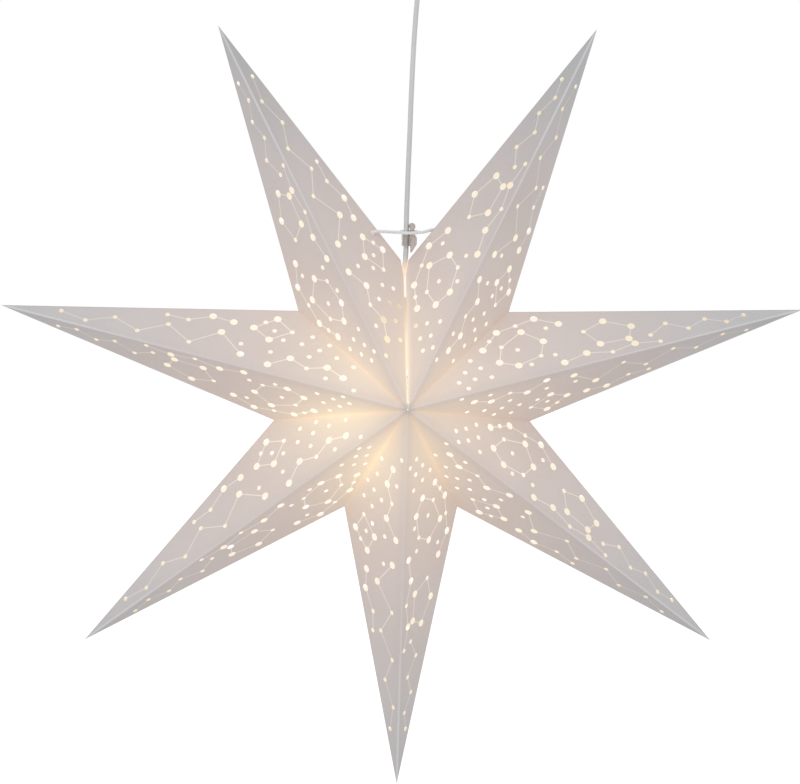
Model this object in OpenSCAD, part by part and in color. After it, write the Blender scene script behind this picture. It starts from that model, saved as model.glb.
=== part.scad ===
// Hanging star lantern: seven hollow points of folded, punched paper round a lamp on a ceiling cord.
// Millimetres, +Z up. The origin is on the ceiling, at the middle of the ceiling plate.
// The front looks along -Y. The points are numbered clockwise from the top right, seen from the front.

/* [Star] */
// Widest size across the points
star_w = 600; // [560:1:660]
// Distance of the notches between the points from the star's centre
notch_r = 99; // [92:1:102]
// Depth of the star from front to back
star_depth = 150; // [140:1:170]
// Angle at which the seam at the top stands open
slot_angle = 3.4; // [3.2:0.1:4.5]
// Height of the star's centre below the ceiling
star_drop = 392; // [388:1:396]
// Distance of the star's centre to the left of the ceiling fitting
star_left = 10; // [9:0.5:11]

/* [Paper] */
// Thickness of the paper
paper_t = 0.3; // [0.2:0.05:0.4]
// Distance of a front face from its ridge crease
ridge_gap = 0.8; // [0.6:0.1:1.2]
// Distance of a back face from its ridge seam
seam_gap = 1.8; // [1.6:0.1:2.4]
// Distance of a face from its valley crease
valley_gap = 1; // [0.8:0.1:1.4]
// Distance of a face from its outer rim crease
rim_gap = 0.8; // [0.6:0.1:1.2]
// Width of the scored strip in which the paper thins towards a valley crease
score_w = 4.3; // [3.8:0.1:5]

/* [Punching] */
// Diameter of the large punched stars
big_hole = 7; // [5:0.1:8]
// Diameter of the small punched stars
small_hole = 4.4; // [3:0.1:5]
// Least paper left between a loose star and its neighbours
hole_web = 3; // [2:0.1:5]
// Least paper left between a loose star and the creases
edge_web = 2; // [1.4:0.1:4]

/* [Tie] */
// Diameter of the tie string
tie_d = 2.2; // [1.6:0.1:2.6]
// Diameter of the tie holes
tie_hole = 3.2; // [2.8:0.1:4]
// Distance of a tie hole from the top notch, along the rim
tie_up = 30; // [27:0.5:34]
// Distance of a tie hole from the rim
tie_in = 6; // [5:0.1:7]
// Height of the tie above the star's centre, at the hook
tie_z = 120; // [119:0.1:122]
// Diameter of the knots inside the paper
knot_d = 4.4; // [4:0.1:5]

/* [Cord and hook] */
// Width of the flat cord
cord_w = 5.2; // [4.8:0.1:5.6]
// Thickness of the flat cord
cord_t = 3.2; // [2.8:0.1:3.6]
// Turn of the cord's broad side away from the viewing direction
cord_turn = 20; // [10:1:30]
// Clearance round the cord in the hook, the grip and the lampholder
cord_gap = 0.4; // [0.3:0.05:0.6]
// Wall of the hook round the cord
hook_wall = 1; // [0.8:0.1:1.4]
// Height of the hook's collar on the cord
hook_h = 9; // [8:0.5:10]
// Thickness of the hook's peg and leg
peg_t = 3.4; // [3:0.1:4]
// Height of the peg's neck, which the tie's loop goes round
peg_neck = 3; // [2.8:0.1:4]
// Diameter of the peg's round head
peg_head = 5; // [4.5:0.1:5.5]
// Length of the hook's leg below its collar
hook_leg = 5; // [4:0.1:6]

/* [Lamp] */
// Distance of the lamp's axis to the left of the star's centre
lamp_left = 4; // [3:0.5:5]
// Diameter of the bulb's globe
bulb_d = 45; // [42:1:48]
// Height of the globe's middle below the star's centre
bulb_drop = 12; // [10:0.5:14]
// Wall of the bulb's glass
glass_t = 0.8; // [0.6:0.1:1.2]
// Diameter of the bulb's screw cap
cap_d = 13.9; // [13.5:0.1:14.3]
// Length of the bulb's screw cap
cap_len = 16; // [15:0.5:17]
// Outside diameter of the lampholder
holder_d = 29; // [28:0.5:31]
// Wall of the lampholder
holder_wall = 1.8; // [1.5:0.1:2.2]
// Length of the lampholder's domed top
dome_len = 26; // [25:0.5:28]
// Running clearance of the bulb in the lampholder
bulb_gap = 0.3; // [0.25:0.05:0.4]

/* [Ceiling fitting] */
// Outside diameter of the ceiling cup
cup_d = 66; // [62:1:72]
// Height of the ceiling cup
cup_h = 37; // [35:0.5:39]
// Wall of the ceiling cup
cup_wall = 1.8; // [1.4:0.1:2.4]
// Gap between the cup's rim and the ceiling
cup_gap = 0.6; // [0.4:0.1:1]
// Thickness of the ceiling plate
plate_t = 2.4; // [2:0.1:3]
// Distance between the ceiling plate's screw holes
screw_span = 40; // [36:1:44]
// Diameter of the ceiling plate's screw holes
screw_hole = 4.6; // [4:0.1:5.4]
// Length of the cord grip's taper below the cup
grip_len = 25; // [22:0.5:27]

/* [Hidden] */
$fn = 48;
points = 7;
leaves = 2*points;
first_leaf = 0;
last_leaf = leaves - 1;
front = -1;
back = 1;

// Corners of the folded sheet, about the star's centre: odd edges are tips, even ones are notches
leaf_a = (360 - slot_angle)/leaves;
half_depth = star_depth/2;
tip_r = star_w/2/sin(slot_angle/2 + 3*leaf_a);
function fold_angle(edge) = slot_angle/2 + edge*leaf_a;
function fold_point(edge) =
    let(r = edge % 2 == 1 ? tip_r : notch_r) [r*sin(fold_angle(edge)), 0, r*cos(fold_angle(edge))];
function apex(side) = [0, side*half_depth, 0];
function unit(v) = v/norm(v);

// One face laid flat: its ridge runs along X from the apex, and its notch is at +Y
ridge_len = norm(fold_point(1) - apex(front));
valley_len = norm(fold_point(0) - apex(front));
rim_len = norm(fold_point(1) - fold_point(0));
apex_a = acos((ridge_len^2 + valley_len^2 - rim_len^2)/(2*ridge_len*valley_len));
flat_tip = [ridge_len, 0];
flat_notch = valley_len*[cos(apex_a), sin(apex_a)];
rim_dir = unit(flat_tip - flat_notch);
rim_in = [rim_dir.y, -rim_dir.x];
valley_in = [sin(apex_a), -cos(apex_a)];

// A line is its inward normal and its distance from the apex
ridge_line = [[0, 1], 0];
valley_line = [valley_in, 0];
rim_line = [rim_in, rim_in*flat_tip];
function inset(line, gap) = [line[0], line[1] + gap];
function meet(a, b) =
    let(d = a[0].x*b[0].y - a[0].y*b[0].x)
    [(a[1]*b[0].y - b[1]*a[0].y)/d, (a[0].x*b[1] - b[0].x*a[1])/d];

// Places on a face as shares of its length and of its width there
function face_w(x) =
    x < flat_notch.x ? x*flat_notch.y/flat_notch.x
    : (ridge_len - x)*flat_notch.y/(ridge_len - flat_notch.x);
function place(p) = let(x = p[0]*ridge_len) [x, p[1]*face_w(x)];

// Trails and rings of punched stars, and loose stars between them
function trail(n, from, to, zig) =
    [for (i = [0:n - 1]) from + (to - from)*i/(n - 1) + [0, i % 2 == 1 ? zig : -zig]];
function ring(n, middle, reach, start) =
    [for (i = [0:n - 1]) let(a = start + 360*i/n) middle + [reach.x*cos(a), reach.y*sin(a)]];
function fraction(v) = v - floor(v);
golden = 0.618;
function loose(n, low, high, shift) =
    [for (i = [0:n - 1])
        [low.x + (high.x - low.x)*fraction(shift + golden*i), low.y + (high.y - low.y)*(i + 0.5)/n]];

left_figures = [
    ring(5, [0.535, 0.52], [0.06, 0.25], 20),
    trail(6, [0.625, 0.45], [0.86, 0.5], 0.13),
    trail(5, [0.43, 0.82], [0.23, 0.84], 0.05),
    trail(5, [0.4, 0.15], [0.64, 0.15], 0.04),
    ring(6, [0.315, 0.46], [0.062, 0.23], 10)];
left_loose = loose(22, [0.13, 0.14], [0.4, 0.9], 0.1);
right_figures = [
    trail(8, [0.42, 0.36], [0.86, 0.48], 0.16),
    trail(4, [0.465, 0.8], [0.62, 0.77], 0.05),
    ring(4, [0.37, 0.68], [0.045, 0.17], 0),
    trail(5, [0.35, 0.19], [0.17, 0.46], 0.06)];
right_loose = loose(30, [0.13, 0.13], [0.44, 0.9], 0.4);

// A star is its place and its diameter: every third of a figure is small, and so are those near the tip
outer_share = 0.6;
function star_size(share, i) = share > outer_share || i % 3 == 2 ? small_hole : big_hole;
function figure_stars(figures) =
    [for (f = figures) for (i = [0:len(f) - 1]) [place(f[i]), star_size(f[i].x, i)]];
function edge_room(spot) = min([for (line = [ridge_line, valley_line, rim_line]) line[0]*spot - line[1]]);
function clear_of(spot, stars) =
    edge_room(spot) > small_hole/2 + edge_web
    && len([for (s = stars) if (norm(spot - s[0]) < small_hole/2 + s[1]/2 + hole_web) 1]) == 0;
function add_loose(stars, spots, i = 0) =
    i == len(spots) ? stars
    : let(spot = place(spots[i]))
        add_loose(clear_of(spot, stars) ? concat(stars, [[spot, small_hole]]) : stars, spots, i + 1);
left_stars = add_loose(figure_stars(left_figures), left_loose);
right_stars = add_loose(figure_stars(right_figures), right_loose);

// The frame of a face: its ridge, the way across it to the notch, and its outward normal
function tip_edge(leaf) = leaf % 2 == 0 ? leaf + 1 : leaf;
function notch_edge(leaf) = leaf % 2 == 0 ? leaf : leaf + 1;
function face_x(leaf, side) = unit(fold_point(tip_edge(leaf)) - apex(side));
function face_y(leaf, side) =
    let(valley = fold_point(notch_edge(leaf)) - apex(side), x = face_x(leaf, side)) unit(valley - (valley*x)*x);
function face_z(leaf, side) =
    let(n = cross(face_x(leaf, side), face_y(leaf, side))) n.y*side > 0 ? n : -n;
function on_face(leaf, side, p) =
    apex(side) + p.x*face_x(leaf, side) + p.y*face_y(leaf, side) + p.z*face_z(leaf, side);
tie_spot = flat_notch + tie_up*rim_dir + tie_in*rim_in;
bend_share = 1.04;

function face_name(leaf, side) =
    str("point_", floor(leaf/2) + 1, side == front ? "_front_" : "_back_", leaf % 2 == 0 ? "left" : "right");

// The cord's route from the ceiling cup to the lampholder, as X and Z, and where it passes the hook
cord_route = [
    [0, -21], [0, -34], [0, -48], [0, -62], [-0.8, -74], [-2.2, -86], [-3.4, -98], [-4.3, -110],
    [-5, -122], [-5.6, -134], [-6.1, -147], [-6.5, -160], [-6.9, -173], [-7.2, -186], [-7.5, -199],
    [-7.9, -213], [-8.3, -227], [-8.6, -241], [-8.9, -254], [-9, -266], [-9, -278], [-9.2, -290],
    [-10.2, -300], [-12.2, -309], [-13.6, -316], [-14, -322], [-14, -336]];
cord_sides = 12;
cord_x = -9;

// The hook, about the cord: its levels are above the star's centre
hook_top = tie_z - tie_d/2;
hook_low = hook_top - hook_h;
peg_off = 0.6;
peg_x = cord_t/2 + cord_gap + peg_off;
peg_mid = peg_x + peg_t/2;
lobe_w = 2;
lobe_x = peg_x + peg_t + lobe_w;
leg_x = peg_x + peg_off;
leg_w = 1;

// The tie's loop round the cord and the peg, about the cord
loop_gap = 0.5;
loop_r = cord_w/2 + tie_d/2 + loop_gap;
tie_split = 0.3;
tie_end = loop_r + tie_d/2 + tie_split;
tie_lead = 2.4;

// Levels of the lamp, above the star's centre
bulb_r = bulb_d/2;
cap_r = cap_d/2;
cap_t = 0.5;
globe_z = -bulb_drop;
neck_share = 0.75;
neck_up = 6;
neck_r = cap_r - cap_t - bulb_gap;
neck_in = 8;
neck_z = globe_z + bulb_r + neck_up;
cap_z = neck_z + cap_len;
insulator_h = 4;
insulator_in = 1.4;
tip_in = 1;
tip_h = 1.4;
hub_r = 5.6;
hub_t = 1;
stem_r = 1.9;
filament_r = 0.8;
filament_half = 10;
tip_z = cap_z + insulator_h + tip_h;
sleeve_t = 0.6;
sleeve_r = cap_r + bulb_gap + sleeve_t;
sleeve_up = 1;
sleeve_z = cap_z + sleeve_up;
flange_w = 1.4;
flange_t = 0.8;
seat_gap = 0.15;
contact_t = 0.6;
block_h = 6;
block_z = tip_z + bulb_gap + contact_t;
skirt_up = 1.2;
skirt_z = neck_z + skirt_up;
dome_z = block_z + block_h;
dome_top = dome_z + dome_len;
holder_r = holder_d/2;
block_r = holder_r - holder_wall - seat_gap;
entry_r = cord_w/2 + cord_gap;
clamp_h = 4;
clamp_size = [19, 9];
post_h = 9;
post_r = 2;
post_x = 7;
lamp_x = -star_left - lamp_left;

// Levels and radii of the ceiling fitting
cup_r = cup_d/2;
cup_in = cup_r - cup_wall;
cup_round = 14;
floor_z = -cup_h + cup_wall;
plate_gap = 0.4;
plate_r = cup_in - plate_gap;
ear_t = 1.6;
ear_w = 10;
ear_h = 14;
ear_in = 0.8;
ear_x = plate_r - ear_in;
side_screw_r = 1.5;
side_screw_z = -9;
side_head_r = 3;
side_head_t = 1.8;
hole_gap = 0.3;
cable_r = 6;
nipple_r = 5;
nut_h = 5;
nut_r = 8;
nipple_up = 2;
grip_flange = 3;
grip_wide = 6.4;
grip_mouth = 1.4;
block_size = [26, 11, 11];
block_y = 8.5;
core_d = 1.8;
core_x = 6;
core_hole = 3;
core_bend = 4;
core_split = 0.15;
block_screw_h = 1.2;
block_screw_shares = [0.3, 0.7];
block_mid = -plate_t - block_size.z/2;

module at_star() { translate([-star_left, 0, -star_drop]) children(); }
module at_hook() { translate([cord_x, 0, -star_drop]) children(); }
module at_lamp() { translate([lamp_x, 0, -star_drop]) children(); }
module at_level(z) { translate([0, 0, z]) children(); }

// A ring of the given radii between two levels
module tube(low, high, outside, inside) {
    at_level(low)
        difference() {
            cylinder(h = high - low, r = outside);
            at_level(-1) cylinder(h = high - low + 2, r = inside);
        }
}

// A round string along a list of places, with bends that are a little thicker
module string(places, d) {
    for (i = [0:len(places) - 2]) {
        way = places[i + 1] - places[i];
        translate(places[i])
            rotate([0, acos(way.z/norm(way)), atan2(way.y, way.x)])
                cylinder(h = norm(way), d = d);
        if (i > 0) translate(places[i]) sphere(d = bend_share*d);
    }
}

// One triangular paper face, cut back from its creases, punched, and thinned along its valley crease
module face(leaf, side) {
    x = face_x(leaf, side);
    y = face_y(leaf, side);
    z = face_z(leaf, side);
    o = apex(side);
    ridge = inset(ridge_line, side == front ? ridge_gap : seam_gap);
    valley = inset(valley_line, valley_gap);
    rim = inset(rim_line, rim_gap);
    stars = leaf % 2 == 0 ? left_stars : right_stars;
    tied = (leaf == last_leaf && side == front) || (leaf == first_leaf && side == back);
    color("ghostwhite")
        at_star()
            multmatrix([[x.x, y.x, z.x, o.x], [x.y, y.y, z.y, o.y], [x.z, y.z, z.z, o.z]])
                difference() {
                    linear_extrude(paper_t)
                        difference() {
                            polygon([meet(ridge, valley), meet(ridge, rim), meet(rim, valley)]);
                            for (s = stars) translate(s[0]) circle(d = s[1]);
                            if (tied) translate(tie_spot) circle(d = tie_hole);
                        }
                    rotate([0, 0, apex_a])
                        rotate([-atan(paper_t/score_w), 0, 0])
                            translate([0, -2*score_w, 0])
                                cube([valley_len + 2*score_w, 2*score_w, 2*paper_t]);
                }
}

// Half of the tie: straight out of the loop, to its hole and through the paper, with a knot behind
module tie_half(leaf, side, start, way) {
    outside = on_face(leaf, side, [tie_spot.x, tie_spot.y, paper_t + tie_d]);
    inside = on_face(leaf, side, [tie_spot.x, tie_spot.y, -knot_d/2 - tie_split]);
    color("whitesmoke")
        at_star() {
            string([start, start + way*[tie_lead, 0, 0], outside, inside], tie_d);
            translate(inside) sphere(d = knot_d);
        }
}
module tie_left() { tie_half(last_leaf, front, [cord_x + star_left - tie_end, 0, tie_z], -1); }
module tie_right() { tie_half(first_leaf, back, [cord_x + star_left + peg_mid + tie_end, 0, tie_z], 1); }

// Loop of string that rests on the hook, round the cord and the peg
module tie_loop() {
    color("whitesmoke")
        at_hook()
            at_level(tie_z) {
                rotate(90) rotate_extrude(angle = 180) translate([loop_r, 0]) circle(d = tie_d);
                translate([peg_mid, 0, 0])
                    rotate(-90) rotate_extrude(angle = 180) translate([loop_r, 0]) circle(d = tie_d);
                for (s = [-1, 1])
                    translate([0, s*loop_r, 0]) rotate([0, 90, 0]) cylinder(h = peg_mid, d = tie_d);
            }
}

// The flat section of the cord, with a margin round it
module cord_section(margin) {
    rotate(90 + cord_turn) {
        for (s = [-1, 1]) translate([s*(cord_w - cord_t)/2, 0]) circle(r = cord_t/2 + margin);
        square([cord_w - cord_t, cord_t + 2*margin], center = true);
    }
}

// Clear hook: a collar on the cord, a peg for the tie's loop, and a leg that slants away from the paper
module cord_hook() {
    color("tan", 0.7)
        at_hook()
            difference() {
                union() {
                    at_level(hook_low) linear_extrude(hook_h) cord_section(cord_gap + hook_wall);
                    translate([0, peg_t/2, 0])
                        rotate([90, 0, 0])
                            linear_extrude(peg_t) {
                                translate([peg_x, hook_top - 1]) square([peg_t, peg_neck + 2]);
                                translate([peg_mid, hook_top + peg_neck + peg_head/2]) circle(d = peg_head);
                                polygon([
                                    [0, hook_top], [peg_x + peg_t, hook_top], [lobe_x, hook_top - hook_h/3],
                                    [lobe_x, hook_low + hook_h/6], [leg_x + leg_w, hook_low - hook_leg],
                                    [leg_x, hook_low - hook_leg], [leg_x, hook_low], [0, hook_low]]);
                            }
                }
                at_level(hook_low - hook_leg)
                    linear_extrude(2*(hook_h + hook_leg)) cord_section(cord_gap);
            }
}

// Sweep of a flat section along a route in the plane of the star
function route_way(route, i) = unit(route[min(i + 1, len(route) - 1)] - route[max(i - 1, 0)]);
function route_ring(route, i, section) =
    let(way = route_way(route, i), across = [-way.y, 0, way.x])
    [for (p = section) [route[i].x, 0, route[i].y] + p.x*across + p.y*[0, 1, 0]];
function flat_section() =
    [for (k = [0:cord_sides - 1])
        let(a = 360*(k + 0.5)/cord_sides, x = cord_t/2*cos(a),
            y = (cord_w - cord_t)/2*sign(sin(a)) + cord_t/2*sin(a))
        [x*cos(cord_turn) - y*sin(cord_turn), x*sin(cord_turn) + y*cos(cord_turn)]];
module supply_cord() {
    section = flat_section();
    n = cord_sides;
    last = len(cord_route) - 1;
    rings = [for (i = [0:last]) each route_ring(cord_route, i, section)];
    wall = [for (i = [0:last - 1]) for (k = [0:n - 1])
        let(a = i*n + k, b = i*n + (k + 1) % n) each [[a, b, a + n], [b, b + n, a + n]]];
    start = [for (k = [1:n - 2]) [0, k + 1, k]];
    end = [for (k = [1:n - 2]) [last*n, last*n + k, last*n + k + 1]];
    color("gainsboro") polyhedron(rings, concat(wall, start, end), convexity = 8);
}

// The cord's two insulated cores, from its end in the ceiling cup to the terminal block
module supply_cores() {
    top = cord_route[0].y;
    start = core_d/2 + core_split;
    color("skyblue")
        for (s = [-1, 1])
            string([
                [0, s*start, top], [0, s*start, top + core_bend/2],
                [s*core_x, core_bend, block_mid], [s*core_x, block_y + core_bend, block_mid]], core_d);
}

// Bulb: a round globe with a straight neck that stands in the screw cap
module globe_shape(wall, shoulder_r) {
    low = neck_share*bulb_r;
    high = bulb_r + neck_up;
    sphere(bulb_r - wall);
    at_level(low) cylinder(h = high - low, r1 = bulb_r*sqrt(1 - neck_share^2) - wall, r2 = shoulder_r);
    at_level(high - 1) cylinder(h = neck_in + 1 + wall, r = neck_r - wall);
}
module bulb_globe() {
    color("ivory", 0.6)
        at_lamp() at_level(globe_z)
            difference() {
                globe_shape(0, cap_r);
                globe_shape(glass_t, neck_r - glass_t);
            }
}
module bulb_cap() {
    color("silver")
        at_lamp() at_level(neck_z)
            difference() {
                cylinder(h = cap_len, r = cap_r);
                at_level(-1) cylinder(h = cap_len, r = cap_r - cap_t);
            }
}
module bulb_insulator() {
    color("dimgray") at_lamp() at_level(cap_z) cylinder(h = insulator_h, r1 = cap_r - insulator_in, r2 = cap_r/2);
}
module bulb_tip() {
    color("silver") at_lamp() at_level(cap_z + insulator_h) cylinder(h = tip_h, r = cap_r/2 - tip_in);
}

// Four light filaments between two hubs, on a glass stem whose flare stands on the neck's end
module bulb_filaments() {
    flare_z = neck_z + neck_in;
    color("gold")
        at_lamp() {
            at_level(flare_z) cylinder(h = hub_t, r = neck_r);
            at_level(globe_z + filament_half) cylinder(h = flare_z - globe_z - filament_half, r = stem_r);
            for (s = [-1, 1]) at_level(globe_z + s*filament_half - hub_t/2) cylinder(h = hub_t, r = hub_r);
            for (k = [0:3])
                rotate(90*k) translate([hub_r - 2*filament_r, 0, globe_z - filament_half])
                    cylinder(h = 2*filament_half, r = filament_r);
        }
}

// Lampholder: a stepped skirt that holds the sleeve and the contact block, under a dome for the cord
module holder_skirt() {
    waist_r = sleeve_r + flange_w + holder_wall;
    color("white")
        at_lamp()
            difference() {
                union() {
                    at_level(skirt_z) cylinder(h = block_z - holder_wall - skirt_z, r = waist_r);
                    at_level(block_z - holder_wall) cylinder(h = dome_z - block_z + holder_wall, r = holder_r);
                }
                at_level(skirt_z - 1) cylinder(h = dome_z - skirt_z, r = sleeve_r + seat_gap);
                at_level(sleeve_z) cylinder(h = dome_z - sleeve_z, r = sleeve_r + flange_w + seat_gap);
                at_level(block_z) cylinder(h = block_h + 1, r = block_r + seat_gap);
            }
}
function dome_arc(wall) =
    let(r = holder_r - wall, low = dome_z, high = dome_top - wall, in = entry_r + holder_wall, n = 10)
    [for (i = [0:n]) let(a = 90*i/n) [in + (r - in)*cos(a), low + (high - low)*sin(a)]];
module holder_dome() {
    color("white")
        at_lamp()
            rotate_extrude() {
                inner = dome_arc(holder_wall);
                polygon(concat(
                    dome_arc(0), [[entry_r, dome_top], [entry_r, dome_top - holder_wall]],
                    [for (i = [len(inner) - 1:-1:0]) inner[i]]));
            }
}
module thread_sleeve() {
    color("goldenrod")
        at_lamp() {
            tube(skirt_z, sleeve_z + flange_t, sleeve_r, cap_r + bulb_gap);
            tube(sleeve_z, sleeve_z + flange_t, sleeve_r + flange_w, cap_r + bulb_gap);
        }
}
module contact_block() {
    color("linen")
        at_lamp() {
            at_level(block_z) cylinder(h = block_h, r = block_r);
            for (s = [-1, 1]) translate([s*post_x, 0, dome_z]) cylinder(h = post_h, r = post_r);
        }
}
module centre_contact() {
    color("goldenrod")
        at_lamp() at_level(block_z - contact_t/2) cube([cap_r, cap_r/2, contact_t], center = true);
}
module holder_screws() {
    color("silver")
        at_lamp() for (s = [-1, 1]) translate([0, s*post_x, dome_z]) cylinder(h = post_r, r = post_r);
}
module cord_clamp() {
    color("linen")
        at_lamp() at_level(dome_z + post_h)
            linear_extrude(clamp_h)
                difference() {
                    square(clamp_size, center = true);
                    cord_section(cord_gap);
                }
}

// Ceiling plate with two screw holes, a cable hole and two ears that the cup is screwed to
module ceiling_plate() {
    color("silver")
        difference() {
            union() {
                at_level(-plate_t) cylinder(h = plate_t, r = plate_r);
                for (s = [-1, 1])
                    translate([s*(ear_x - ear_t/2), 0, -ear_h/2]) cube([ear_t, ear_w, ear_h], center = true);
            }
            at_level(-plate_t - 1) cylinder(h = plate_t + 2, r = cable_r);
            for (s = [-1, 1])
                translate([s*screw_span/2, 0, -plate_t - 1]) cylinder(h = plate_t + 2, d = screw_hole);
            side_screw_bore(seat_gap);
        }
}
module side_screw_bore(gap) {
    at_level(side_screw_z) rotate([0, 90, 0]) cylinder(h = 3*cup_r, r = side_screw_r + gap, center = true);
}
function cup_arc(wall) =
    let(r = cup_round - wall, n = 8)
    [for (i = [0:n]) let(a = 90*i/n) [cup_r - cup_round + r*cos(a), -cup_h + cup_round - r*sin(a)]];
module ceiling_cup() {
    hole_r = nipple_r + seat_gap;
    outer = cup_arc(0);
    inner = cup_arc(cup_wall);
    color("white")
        difference() {
            rotate_extrude()
                polygon(concat(
                    [[cup_r, -cup_gap]], outer, [[hole_r, -cup_h], [hole_r, floor_z]],
                    [for (i = [len(inner) - 1:-1:0]) inner[i]], [[cup_in, -cup_gap]]));
            side_screw_bore(hole_gap);
        }
}
module cup_screws() {
    color("silver")
        for (s = [-1, 1])
            at_level(side_screw_z)
                rotate([0, s*90, 0]) {
                    at_level(ear_x - 2*ear_t) cylinder(h = cup_r - ear_x + 2*ear_t, r = side_screw_r);
                    at_level(cup_r) cylinder(h = side_head_t, r = side_head_r);
                }
}

// Cord grip: a nipple through the cup's floor, and a taper that guards the cord below it
module cord_grip() {
    low = -cup_h - grip_len;
    high = floor_z + nut_h + nipple_up;
    color("white")
        rotate_extrude()
            polygon([
                [entry_r, high], [nipple_r, high], [nipple_r, -cup_h],
                [nut_r, -cup_h], [nut_r, -cup_h - grip_flange], [grip_wide, -cup_h - grip_flange - 1],
                [entry_r + grip_mouth, low], [entry_r + grip_mouth/2, low], [entry_r, low + grip_mouth]]);
}
module grip_nut() {
    color("silver")
        at_level(floor_z)
            difference() {
                cylinder(h = nut_h, r = nut_r, $fn = 6);
                at_level(-1) cylinder(h = nut_h + 2, r = nipple_r + seat_gap);
            }
}

// Terminal block under the plate, with a hole for each core
module terminal_block() {
    color("ivory")
        difference() {
            translate([-block_size.x/2, block_y, -plate_t - block_size.z]) cube(block_size);
            for (s = [-1, 1])
                translate([s*core_x, block_y - 1, block_mid])
                    rotate([-90, 0, 0]) cylinder(h = block_size.y + 2, d = core_hole);
        }
}
module terminal_screws() {
    color("silver")
        for (s = [-1, 1])
            for (share = block_screw_shares)
                translate([s*core_x, block_y + share*block_size.y, -plate_t - block_size.z - block_screw_h])
                    cylinder(h = block_screw_h, r = core_hole/2);
}

for (leaf = [first_leaf:last_leaf]) for (side = [front, back])
    face(leaf, side);
tie_loop();
tie_left();
tie_right();
cord_hook();
supply_cord();
supply_cores();
bulb_globe();
bulb_cap();
bulb_insulator();
bulb_tip();
bulb_filaments();
holder_skirt();
holder_dome();
thread_sleeve();
contact_block();
centre_contact();
holder_screws();
cord_clamp();
ceiling_plate();
ceiling_cup();
cup_screws();
cord_grip();
grip_nut();
terminal_block();
terminal_screws();
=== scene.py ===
"""Looks of a hanging star lantern: seven points of folded, punched paper round a lamp on a ceiling cord.

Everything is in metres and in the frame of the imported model: the origin is on the ceiling, +Z is up and
the front looks along -Y.
"""

from __future__ import annotations

import logging
import math
from abc import ABC, abstractmethod
from collections.abc import Callable, Sequence
from dataclasses import dataclass, replace
from enum import Enum

import bmesh
import bpy
from mathutils import Matrix, Vector
from mathutils.geometry import delaunay_2d_cdt


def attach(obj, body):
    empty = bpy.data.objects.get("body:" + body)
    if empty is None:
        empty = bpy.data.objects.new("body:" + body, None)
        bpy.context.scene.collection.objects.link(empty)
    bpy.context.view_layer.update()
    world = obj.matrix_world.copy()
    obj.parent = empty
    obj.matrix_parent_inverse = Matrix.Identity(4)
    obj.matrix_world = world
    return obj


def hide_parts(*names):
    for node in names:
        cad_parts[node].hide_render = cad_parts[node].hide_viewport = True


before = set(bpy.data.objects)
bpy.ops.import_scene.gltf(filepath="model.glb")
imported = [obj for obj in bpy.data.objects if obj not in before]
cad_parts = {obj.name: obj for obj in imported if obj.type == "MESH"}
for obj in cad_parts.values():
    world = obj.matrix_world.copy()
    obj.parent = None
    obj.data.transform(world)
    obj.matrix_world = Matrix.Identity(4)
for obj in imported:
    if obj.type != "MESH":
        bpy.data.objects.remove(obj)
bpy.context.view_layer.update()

LOG = logging.getLogger("star_lantern")
MM = 0.001

Colour = tuple[float, float, float]
Spot = tuple[float, float]
Place = tuple[float, float, float]
Ring = list[Vector]
Ripple = Callable[[float, float, float], float]


class Side(Enum):
    """The two sides of the star."""

    FRONT = -1
    BACK = 1


class Hand(Enum):
    """The two faces of one point, seen from the front with its tip up."""

    LEFT = 0
    RIGHT = 1


class Layer(Enum):
    """The surfaces of a paper face, in the order of its materials."""

    OUTSIDE = 0
    LINE = 1
    INSIDE = 2
    EDGE = 3


def rgba(colour: Colour) -> tuple[float, float, float, float]:
    """Give a colour its opaque fourth number."""
    return (*colour, 1.0)


class Value:
    """A shader socket that takes part in Python expressions: each operation adds a Math node."""

    def __init__(self, shader: Shader, socket: bpy.types.NodeSocket | None) -> None:
        """Keep the socket and the shader that it belongs to."""
        self.shader = shader
        self.socket = socket

    def other(self, output: str) -> Value:
        """Another output of the same node."""
        return Value(self.shader, self.socket.node.outputs[output])

    def _math(self, operation: str, first: Value | float, second: Value | float) -> Value:
        """Add a Math node on two numbers."""
        return self.shader.add("ShaderNodeMath", {"operation": operation}, {0: first, 1: second})

    def __add__(self, other: Value | float) -> Value:
        """Sum."""
        return self._math("ADD", self, other)

    def __radd__(self, other: float) -> Value:
        """Sum, with the number first."""
        return self._math("ADD", other, self)

    def __sub__(self, other: Value | float) -> Value:
        """Difference."""
        return self._math("SUBTRACT", self, other)

    def __rsub__(self, other: float) -> Value:
        """Difference, with the number first."""
        return self._math("SUBTRACT", other, self)

    def __mul__(self, other: Value | float) -> Value:
        """Product."""
        return self._math("MULTIPLY", self, other)

    def __rmul__(self, other: float) -> Value:
        """Product, with the number first."""
        return self._math("MULTIPLY", other, self)

    def __truediv__(self, other: Value | float) -> Value:
        """Quotient."""
        return self._math("DIVIDE", self, other)

    def __rtruediv__(self, other: float) -> Value:
        """Quotient, with the number first."""
        return self._math("DIVIDE", other, self)

    def __rpow__(self, other: float) -> Value:
        """Power of a number."""
        return self._math("POWER", other, self)

    def __pow__(self, other: float) -> Value:
        """Power."""
        return self._math("POWER", self, other)

    def clamped(self) -> Value:
        """The number held between 0 and 1."""
        return self.shader.add("ShaderNodeClamp", {}, {"Value": self})

    def about(self, middle: float, swing: float) -> Value:
        """Noise about 0.5 brought to vary about another number."""
        return middle + (self - 0.5) * swing


Input = Value | float | Sequence[float]


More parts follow.
